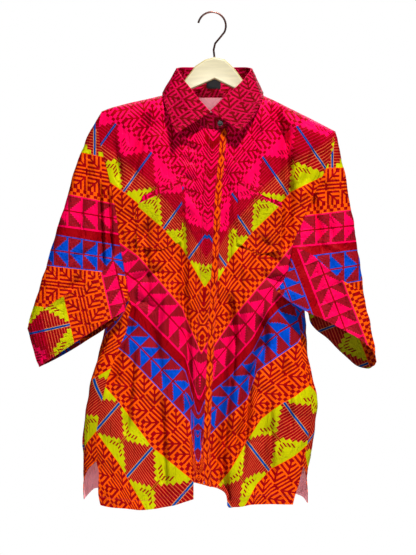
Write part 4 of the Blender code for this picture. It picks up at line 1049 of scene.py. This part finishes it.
def backPanel():
    left, right = sideEdge(panelsMade["left"], "Back"), sideEdge(panelsMade["right"], "Back", overRight=True)
    neck = panelsMade["neckHalfWidth"]
    middle = -neck * np.cos(np.linspace(0, math.pi, 2 * neckParts + 1))
    x = np.concatenate([
        np.linspace(panelsMade["left"]["shoulderEnd"], -neck, shoulderParts + 1)[:-1],
        middle * panelsMade["justInside"],
        np.linspace(neck, panelsMade["right"]["shoulderEnd"], shoulderParts + 1)[1:],
    ])
    top = topEdge(x, 1)
    bottom = hemEdge(pairs(panelsMade["backHem"]), 1, len(x) - 1)
    bottom[0], bottom[-1] = left[-1], right[-1]
    where = spanned(left, right, top, bottom, (rowShares(left) + rowShares(right)) / 2)
    grid = body(where[..., 0], where[..., 1])
    normal = normalsTo(1, grid, 10, len(x) // 2)
    uprightRidge(grid, normal, slice(0, shoulderParts + 1))
    uprightRidge(grid, normal, slice(len(x) - 1 - shoulderParts, len(x)))
    addCloth("back", grid, normal, clothMade["layer"])
    return grid, normal


sleevesMade = {
    "left": {
        "bandSeam": table("share x_front y_front z_front x_back y_back z_back",
            (0.00, -353, 0, -600, -353, 0, -600), (0.03, -347, -9, -592, -347, 9, -592),
            (0.09, -333, -17, -575, -333, 17, -575), (0.20, -302, -24, -548, -302, 22, -550),
            (0.40, -252, -28, -522, -252, 25, -524), (0.58, -212, -30, -495, -222, 24, -508),
            (0.72, -188, -31, -464, -214, 16, -498), (0.84, -183, -34, -486, -212, -2, -505),
            (0.92, -176, -37, -520, -199, -20, -525), (1.00, -166, -37, -551, -166, -37, -551),
        ),
        "bandHem": table("share x_front y_front z_front x_back y_back z_back",
            (0.00, -331, 0, -672, -331, 0, -672), (0.03, -326, -9, -668, -327, 9, -670),
            (0.09, -316, -17, -661, -316, 17, -665), (0.20, -296, -24, -648, -296, 22, -655),
            (0.40, -262, -30, -625, -263, 20, -636), (0.58, -232, -34, -606, -234, 10, -617),
            (0.74, -207, -38, -590, -211, -8, -603), (0.88, -184, -41, -575, -189, -26, -586),
            (1.00, -167, -41, -564, -167, -41, -564),
        ),
    },
    "right": {
        "bandSeam": table("share x_front y_front z_front x_back y_back z_back",
            (0.00, 284, 0, -530, 284, 0, -530), (0.03, 279, -9, -528, 279, 9, -529),
            (0.09, 268, -17, -521, 268, 17, -524), (0.20, 246, -24, -509, 247, 22, -514),
            (0.40, 212, -30, -482, 220, 25, -504), (0.58, 186, -35, -459, 200, 25, -500),
            (0.70, 163, -39, -449, 189, 22, -502), (0.80, 149, -41, -455, 184, 10, -508),
            (0.90, 147, -37, -494, 177, -12, -519), (1.00, 149, -36, -535, 149, -36, -535),
        ),
        "bandHem": table("share x_front y_front z_front x_back y_back z_back",
            (0.00, 309, 0, -662, 309, 0, -662), (0.03, 306, -9, -648, 306, 9, -669),
            (0.09, 296, -18, -634, 297, 17, -675), (0.20, 276, -24, -618, 277, 22, -674),
            (0.40, 238, -31, -597, 243, 28, -645), (0.58, 203, -38, -579, 214, 32, -615),
            (0.72, 172, -45, -565, 193, 30, -600), (0.80, 143, -47, -547, 186, 16, -590),
            (0.88, 111, -47, -525, 182, -4, -572), (0.94, 134, -41, -528, 172, -24, -556),
            (1.00, 153, -37, -545, 153, -37, -545),
        ),
    },
    "bow": table("share left right",
        (0, 0, 0), (0.08, 9, 1), (0.18, 13, 3), (0.4, 9, 4), (0.7, 5, 4), (1, 0, 0),
    ),
    "clearAtArmpit": 0.3, "clearOfSide": 3.2, "clearBelow": -475.0, "clearSteps": 60, "clearStep": 0.5,
    "hubIn": 45.0, "underarmApart": 0.1, "underarmFrom": 0.5, "underarmOver": 0.15,
}


def ringOf(rows, shares):
    front, back = (
        np.stack([read(rows, axis + "_" + face, shares, "share") for axis in "xyz"], 1)
        for face in ("front", "back")
    )
    return np.concatenate([front, back[-2:0:-1]])


def clearOfBody(grid, side):
    x, y, z = grid[..., 0], grid[..., 1], grid[..., 2]
    left, right, clear = sideOf("left", z), sideOf("right", z), sleevesMade["clearOfSide"]
    middle, half = (left + right) / 2, (right - left) / 2 + clear
    depth = deepAt(y, z) + clear
    hub = (left if side < 0 else right) - side * sleevesMade["hubIn"]
    way = toward(np.stack([x - hub, y, 0 * z], -1))
    moved = grid.copy()
    for _ in range(sleevesMade["clearSteps"]):
        inside = np.abs((moved[..., 0] - middle) / half) ** 3 + (moved[..., 1] / depth) ** 2 < 1
        inside &= z < sleevesMade["clearBelow"]
        moved[inside] += sleevesMade["clearStep"] * way[inside]
    return moved


def sleeve(side, front, back):
    name = sideNames[side]
    own, rows, column = sleevesMade[name], len(armRows), 0 if side < 0 else -1
    start, startNormal = (
        np.concatenate([ahead[:rows, 0], behind[rows - 2:0:-1, column]])
        for ahead, behind in zip(front, back)
    )
    start[0] = (front[0][0, 0] + back[0][0, column]) / 2
    around = np.concatenate([armRows, armRows[-2:0:-1]])
    inner = np.clip((around - sleevesMade["underarmFrom"]) / sleevesMade["underarmOver"], 0, 1)[:, None]
    start += inner * (side * sleevesMade["clearAtArmpit"], -0.5 * sleevesMade["clearAtArmpit"], 0)
    seam, hem = ringOf(own["bandSeam"], armRows), ringOf(own["bandHem"], armRows)
    shares = np.linspace(0, 1, sleeveParts + 1)
    upper = start + shares[:, None, None] * (seam - start)
    bow = read(sleevesMade["bow"], name, shares, "share")
    foldWay = seam[0] - start[0]
    out = np.array([side * abs(foldWay[2]), 0, abs(foldWay[0])]) / np.hypot(foldWay[0], foldWay[2])
    upper += bow[:, None, None] * ((1 - around) ** 2)[None, :, None] * out
    lower = seam + np.linspace(0, 1, bandParts + 1)[1:, None, None] * (hem - seam)
    grid = np.concatenate([upper, lower])
    grid[1:] = clearOfBody(grid[1:], side)
    normal = normalsOf(grid, closed=True)
    normal[0] = toward(normal[0] * inner + startNormal * (1 - inner))
    normal[0, 0] = (front[1][0, 0] + back[1][0, column]) / 2
    sleeveGrid, bandGrid = grid[:sleeveParts + 1].copy(), grid[sleeveParts:].copy()
    apart = clothMade["seamGap"] / 2 + sleevesMade["underarmApart"] * inner
    pullIn(sleeveGrid, "top", clothMade["seamGap"] + 0.1)
    pullIn(sleeveGrid, "bottom", apart)
    pullIn(bandGrid, "top", apart)
    addCloth("sleeve_" + name, sleeveGrid, normal[:sleeveParts + 1], clothMade["layer"], closed=True)
    addCloth("cuff_" + name, bandGrid, normal[sleeveParts:], clothMade["layer"], closed=True)


# turn is the angle round the neck in degrees: 0 at the back and -180 or 180 at the front.
collarMade = {
    "fold": table("turn z",
        (-180, -194), (-172, -191), (-150, -162), (-135, -143), (-110, -120), (-92, -108), (-60, -105),
        (0, -104), (60, -105), (92, -109), (112, -119), (128, -132), (145, -147), (160, -160),
        (173, -176), (184, -189),
    ),
    "leafEdge": table("turn face x z lift",
        (-172, -1, -70, -230, 19), (-158, -1, -76, -217, 14), (-140, -1, -83, -198, 7),
        (-118, -1, -91, -176, 6), (-101, -1, -96, -161, 5), (-88, 1, -95, -152, 5),
        (-70, 1, -84, -160, 6), (-45, 1, -58, -168, 5), (0, 1, 0, -171, 5), (45, 1, 58, -168, 5),
        (70, 1, 84, -162, 6), (88, 1, 94, -152, 5), (101, -1, 93, -163, 5), (118, -1, 87, -178, 6),
        (140, -1, 75, -198, 7), (160, -1, 62, -213, 14), (184, -1, 51, -225, 19),
    ),
    "halfWidth": 70.0, "middle": 1.5, "front": 52.0, "back": 41.0, "leftEnd": -172.0, "rightEnd": 184.0,
    "standLeft": -198.0, "standRight": 172.0, "standLap": 3.0, "lapTop": -193.0, "standUp": 0.8,
    "standUpMore": 0.6, "leafOffStand": 2.5, "leafOverStand": 2.1, "ridgeLift": 4.0, "ridgeTurn": 93,
    "standWall": 1.8, "leafWall": 2.0, "standColumns": 42, "standRows": 4, "leafColumns": 45,
    "leafRows": (0.12, 0.35, 0.6, 0.82, 1.0), "lapFrom": 140, "lapOver": 25, "roundCrease": 0.8,
    "insideNeck": 0.995, "flareFrom": 40, "flareOver": 20, "flareIn": 0.9, "ridgeWidth": 10,
}


def foldRing(turn):
    angle = np.radians(turn)
    y = np.where(np.cos(angle) < 0, collarMade["front"], collarMade["back"]) * np.cos(angle)
    x = collarMade["middle"] + collarMade["halfWidth"] * np.sin(angle)
    return np.stack([x, y, read(collarMade["fold"], "z", turn, "turn")], 1)


def neckRing(turn):
    angle = np.radians(turn)
    x = panelsMade["neckHalfWidth"] * collarMade["insideNeck"] * np.sin(angle)
    face = np.where(np.cos(angle) < 0, -1, 1)
    ring = onBody(x, np.where(face < 0, neckline("front", x), neckline("back", x)), face)
    atNeck = np.clip((np.abs(x) - collarMade["flareFrom"]) / collarMade["flareOver"], 0, 1)
    ring[:, 2] += collarMade["standUp"] + collarMade["standUpMore"] * atNeck
    ring[:, 0] -= collarMade["flareIn"] * np.sign(x) * atNeck
    return ring


def standGrid():
    turn = np.linspace(collarMade["standLeft"], collarMade["standRight"], collarMade["standColumns"])
    foot, top = neckRing(turn), foldRing(np.clip(turn, -180, 180))
    past = turn < -180
    top[past] = foldRing(turn[past] + 360)
    top[past, 2] = collarMade["lapTop"]
    grid = foot + np.linspace(0, 1, collarMade["standRows"])[:, None, None] * (top - foot)
    under = np.clip((turn - collarMade["lapFrom"]) / collarMade["lapOver"], 0, 1)
    grid[..., 1] += eased(collarMade["standLap"], under)
    return turn, grid


def collar():
    made = collarMade
    turn, grid = standGrid()
    normal = normalsTo(1, grid, 1, len(turn) // 2)
    addCloth("collar_stand", grid, normal, made["standWall"])
    leafTurn = np.linspace(made["leftEnd"], made["rightEnd"], made["leafColumns"])
    crease = foldRing(leafTurn)
    face = np.where(np.abs(leafTurn) > made["ridgeTurn"], -1, 1)
    x, z, lift = (read(made["leafEdge"], name, leafTurn, "turn") for name in ("x", "z", "lift"))
    free = onBody(x, z, face)
    nearRidge = np.clip(1 - np.abs(np.abs(leafTurn) - made["ridgeTurn"]) / made["ridgeWidth"], 0, 1)
    free[:, 1] += face * lift * (1 - nearRidge)
    free[:, 2] += made["ridgeLift"] * nearRidge
    out = np.stack([np.interp(leafTurn, turn, normal[-1, :, k]) for k in range(3)], 1)
    over = np.cross(np.gradient(crease, axis=0), out)
    over *= np.sign(over[:, 2:]) / np.linalg.norm(over, axis=1, keepdims=True)
    curl = made["roundCrease"]
    start = crease + made["leafOffStand"] * out - curl * over
    roundCrease = crease + curl * made["leafOffStand"] * out + curl * made["leafOverStand"] * over
    rows = [crease + made["leafOverStand"] * over, roundCrease, start]
    rows += [start + share * (free - start) for share in made["leafRows"]]
    leaf = np.stack(rows)
    addCloth("collar_leaf", leaf, normalsTo(1, leaf, 4, len(leafTurn) // 2), made["leafWall"])
    return grid, normal, turn


def placket():
    across = np.linspace(0, 1, placketMade["across"])[None]
    share = np.linspace(0, 1, placketMade["down"])[:, None]

    def between(left, right):
        return left + across * (right - left)

    topX = between(*(placketEdge(name, panelsMade["neckFront"]) for name in ("left", "right")))
    top = neckline("front", topX) - clothMade["seamGap"]
    hemX = placketMade["hem"]["x"]
    low = read(placketMade["hem"], "z", between(hemX[0], hemX[-1]), "x")
    z = top + share * (low - top)
    grid = onBody(between(placketEdge("left", z), placketEdge("right", z)), z, np.full(z.shape, -1))
    normal = normalsTo(-1, grid, 5, 1)
    addCloth("placket", grid + normal * placketMade["out"], normal, placketMade["wall"])


# The corners of each pocket, from the outer one at the top.
pocketsMade = {
    "left": table("x z", (-147, -355), (-60, -315), (-60, -433), (-102, -450), (-144, -443)),
    "right": table("x z", (128, -361), (47, -316), (45, -437), (86, -458), (127, -450)),
    "lyingOut": 1.5,
}


def pocket(name):
    corner = pairs(pocketsMade[name])
    shares = np.linspace(0, 1, pocketParts + 1)
    top, low, outer, inner = (walk(corner[way], shares) for way in ([0, 1], [4, 3, 2], [0, 4], [1, 2]))
    flat = spanned(outer, inner, top, low, shares)
    grid = onBody(flat[..., 0], flat[..., 1], np.full(flat.shape[:2], -1))
    normal = normalsTo(-1, grid, 2, 2)
    addCloth("pocket_" + name, grid + normal * pocketsMade["lyingOut"], normal, clothMade["layer"])


def addPlain(name, points, faces, finish):
    mesh = bpy.data.meshes.new(name)
    mesh.from_pydata([tuple(p) for p in np.asarray(points) * mm], [], faces)
    mesh.materials.append(finishes[finish])
    smoothed(mesh, 40)
    return dress(placed(name + "_piece", mesh), name)


trimMade = {
    "label": {"left": -13.0, "right": 13.0, "top": -124.0, "bottom": -142.0, "thick": 0.8},
    "button": {"turn": 171.0, "height": 0.42, "radius": 5.5, "thick": 2.4, "sides": 40},
}


def neckLabel(grid):
    made = trimMade["label"]
    middle = np.flatnonzero(np.abs(grid[1, :, 0]) < 20)
    middle = middle[grid[1, middle, 1] > 0]
    order = middle[np.argsort(grid[1, middle, 0])]
    rows = []
    for z in np.linspace(made["top"], made["bottom"], 3):
        points = []
        for x in np.linspace(made["left"], made["right"], 5):
            foot, top = (
                [np.interp(x, grid[row, order, 0], grid[row, order, k]) for k in range(3)] for row in (0, -1)
            )
            share = (z - foot[2]) / (top[2] - foot[2])
            points.append((x, foot[1] + share * (top[1] - foot[1]), z))
        rows.append(points)
    flat = np.array(rows)
    facing = normalsTo(1, flat, 1, 2)
    off = collarMade["standWall"] / 2 + clothMade["seamGap"] + made["thick"] / 2
    addCloth("neck_label", flat - facing * off, facing, made["thick"])


def button(grid, normal, turn):
    made = trimMade["button"]
    column = np.argmin(np.abs(turn + 360 - made["turn"]))
    spot = grid[0, column] + made["height"] * (grid[-1, column] - grid[0, column])
    out = normal[1, column]
    centre = spot + out * (collarMade["standWall"] / 2 + clothMade["seamGap"] + made["thick"] / 2 + 0.1)
    side = toward(np.cross(out, (0, 0, 1.0)))
    up = np.cross(side, out)
    sides = made["sides"]
    profile = (
        (0.8, -0.5), (0.95, -0.4), (1.0, 0.0), (0.95, 0.4), (0.82, 0.5), (0.7, 0.36), (0.3, 0.3),
        (0.05, 0.3),
    )
    points = []
    for radius, depth in profile:
        for k in range(sides):
            angle = 2 * math.pi * k / sides
            ring = made["radius"] * radius * (math.cos(angle) * side + math.sin(angle) * up)
            points.append(centre + ring + out * made["thick"] * depth)
    levels = len(profile) - 1
    faces = [tuple(range(sides))[::-1], tuple(range(levels * sides, (levels + 1) * sides))]
    for level in range(levels):
        for k in range(sides):
            a, b = level * sides + k, level * sides + (k + 1) % sides
            faces.append((a, b, b + sides, a + sides))
    low, high = points[0], points[sides]
    if np.cross(points[1] - low, high - low) @ (low - centre) < 0:
        faces = [face[::-1] for face in faces]
    addPlain("collar_button", points, faces, "button")


hangerMade = {
    "thick": 11.0, "bevel": 3.5, "armTall": 23.0, "underRidge": 1.5, "underRidgeAtEnds": 2.6,
    "armFrom": 78, "armEnds": (-200.0, 219.0), "armEndRound": 3.5, "wireRadius": 1.9,
    "taperFrom": 110, "taperOver": 80, "bevelSteps": 5, "sharpest": 60, "hookSteps": 60,
    "dome": table("x z",
        (-72, -152.8), (-56, -129), (-43, -112), (-35, -101), (-16, -88.5), (2, -84), (22, -88.5),
        (35, -101), (45, -112), (58, -131), (72, -152.4),
    ),
    "notch": table("x z", (-48, -148), (2, -126), (47, -148)),
    "hookCrown": {"x": -3.0, "z": -24.5, "radius": 26.4, "start": 168.0, "end": -28.0},
    "hookTail": table("x z", (13, -46), (3, -58), (0.2, -70), (1.6, -83.6)),
}


def hanger():
    made = hangerMade
    tall, beyond, (leftEnd, rightEnd) = made["armTall"], made["armEndRound"], made["armEnds"]

    def arm(places, down=0.0):
        toEnd = np.clip((np.abs(places) - made["taperFrom"]) / made["taperOver"], 0, 1)
        height = ridge(places) - made["underRidge"] - made["underRidgeAtEnds"] * toEnd - down
        return list(zip(places, height))

    def end(x, shares):
        height = arm(np.array([x]))[0][1]
        return [(x + math.copysign(beyond, x), height - share * tall) for share in shares]

    leftX, rightX = np.linspace(leftEnd, -made["armFrom"], 8), np.linspace(made["armFrom"], rightEnd, 8)
    outline = arm(leftX) + [tuple(p) for p in pairs(made["dome"])] + arm(rightX) + end(rightEnd, (0.3, 0.7))
    outline += arm(rightX[::-1], tall) + [tuple(p) for p in pairs(made["notch"])[::-1]]
    outline += arm(leftX[::-1], tall) + end(leftEnd, (0.7, 0.3))
    count = len(outline)
    points = [(x, y, z) for y in (-made["thick"] / 2, made["thick"] / 2) for x, z in outline]
    faces = [tuple(range(count))[::-1], tuple(range(count, 2 * count))]
    faces += [(k, (k + 1) % count, (k + 1) % count + count, k + count) for k in range(count)]
    bevel = addPlain("hanger_body", points, faces, "wood").modifiers.new("rounded", "BEVEL")
    bevel.width = made["bevel"] * mm
    bevel.segments = made["bevelSteps"]
    bevel.limit_method = "ANGLE"
    bevel.angle_limit = math.radians(made["sharpest"])


def hook():
    crown = hangerMade["hookCrown"]
    turns = np.radians(np.linspace(crown["start"], crown["end"], hangerMade["hookSteps"]))
    arc = (crown["x"], crown["z"]) + crown["radius"] * np.stack([np.cos(turns), np.sin(turns)], 1)
    route = np.concatenate([arc, pairs(hangerMade["hookTail"])])
    curve = bpy.data.curves.new("hanger_hook", "CURVE")
    curve.dimensions = "3D"
    curve.bevel_depth = hangerMade["wireRadius"] * mm
    curve.bevel_resolution = 6
    curve.use_fill_caps = True
    line = curve.splines.new("POLY")
    line.points.add(len(route) - 1)
    for point, (x, z) in zip(line.points, route):
        point.co = (x * mm, 0, z * mm, 1)
    curve.materials.append(finishes["wire"])
    dress(placed("hanger_hook_wire", curve), "hanger_hook")


left, right = frontPanel(-1), frontPanel(1)
back = backPanel()
print("the panels are hung")
sleeve(-1, left, back)
sleeve(1, right, back)
print("the sleeves are set in")
stand, standNormal, standTurn = collar()
neckLabel(stand)
button(stand, standNormal, standTurn)
placket()
pocket("left")
pocket("right")
print("the collar, the placket and the pockets are sewn on")
hanger()
hook()
print("the hanger is in")
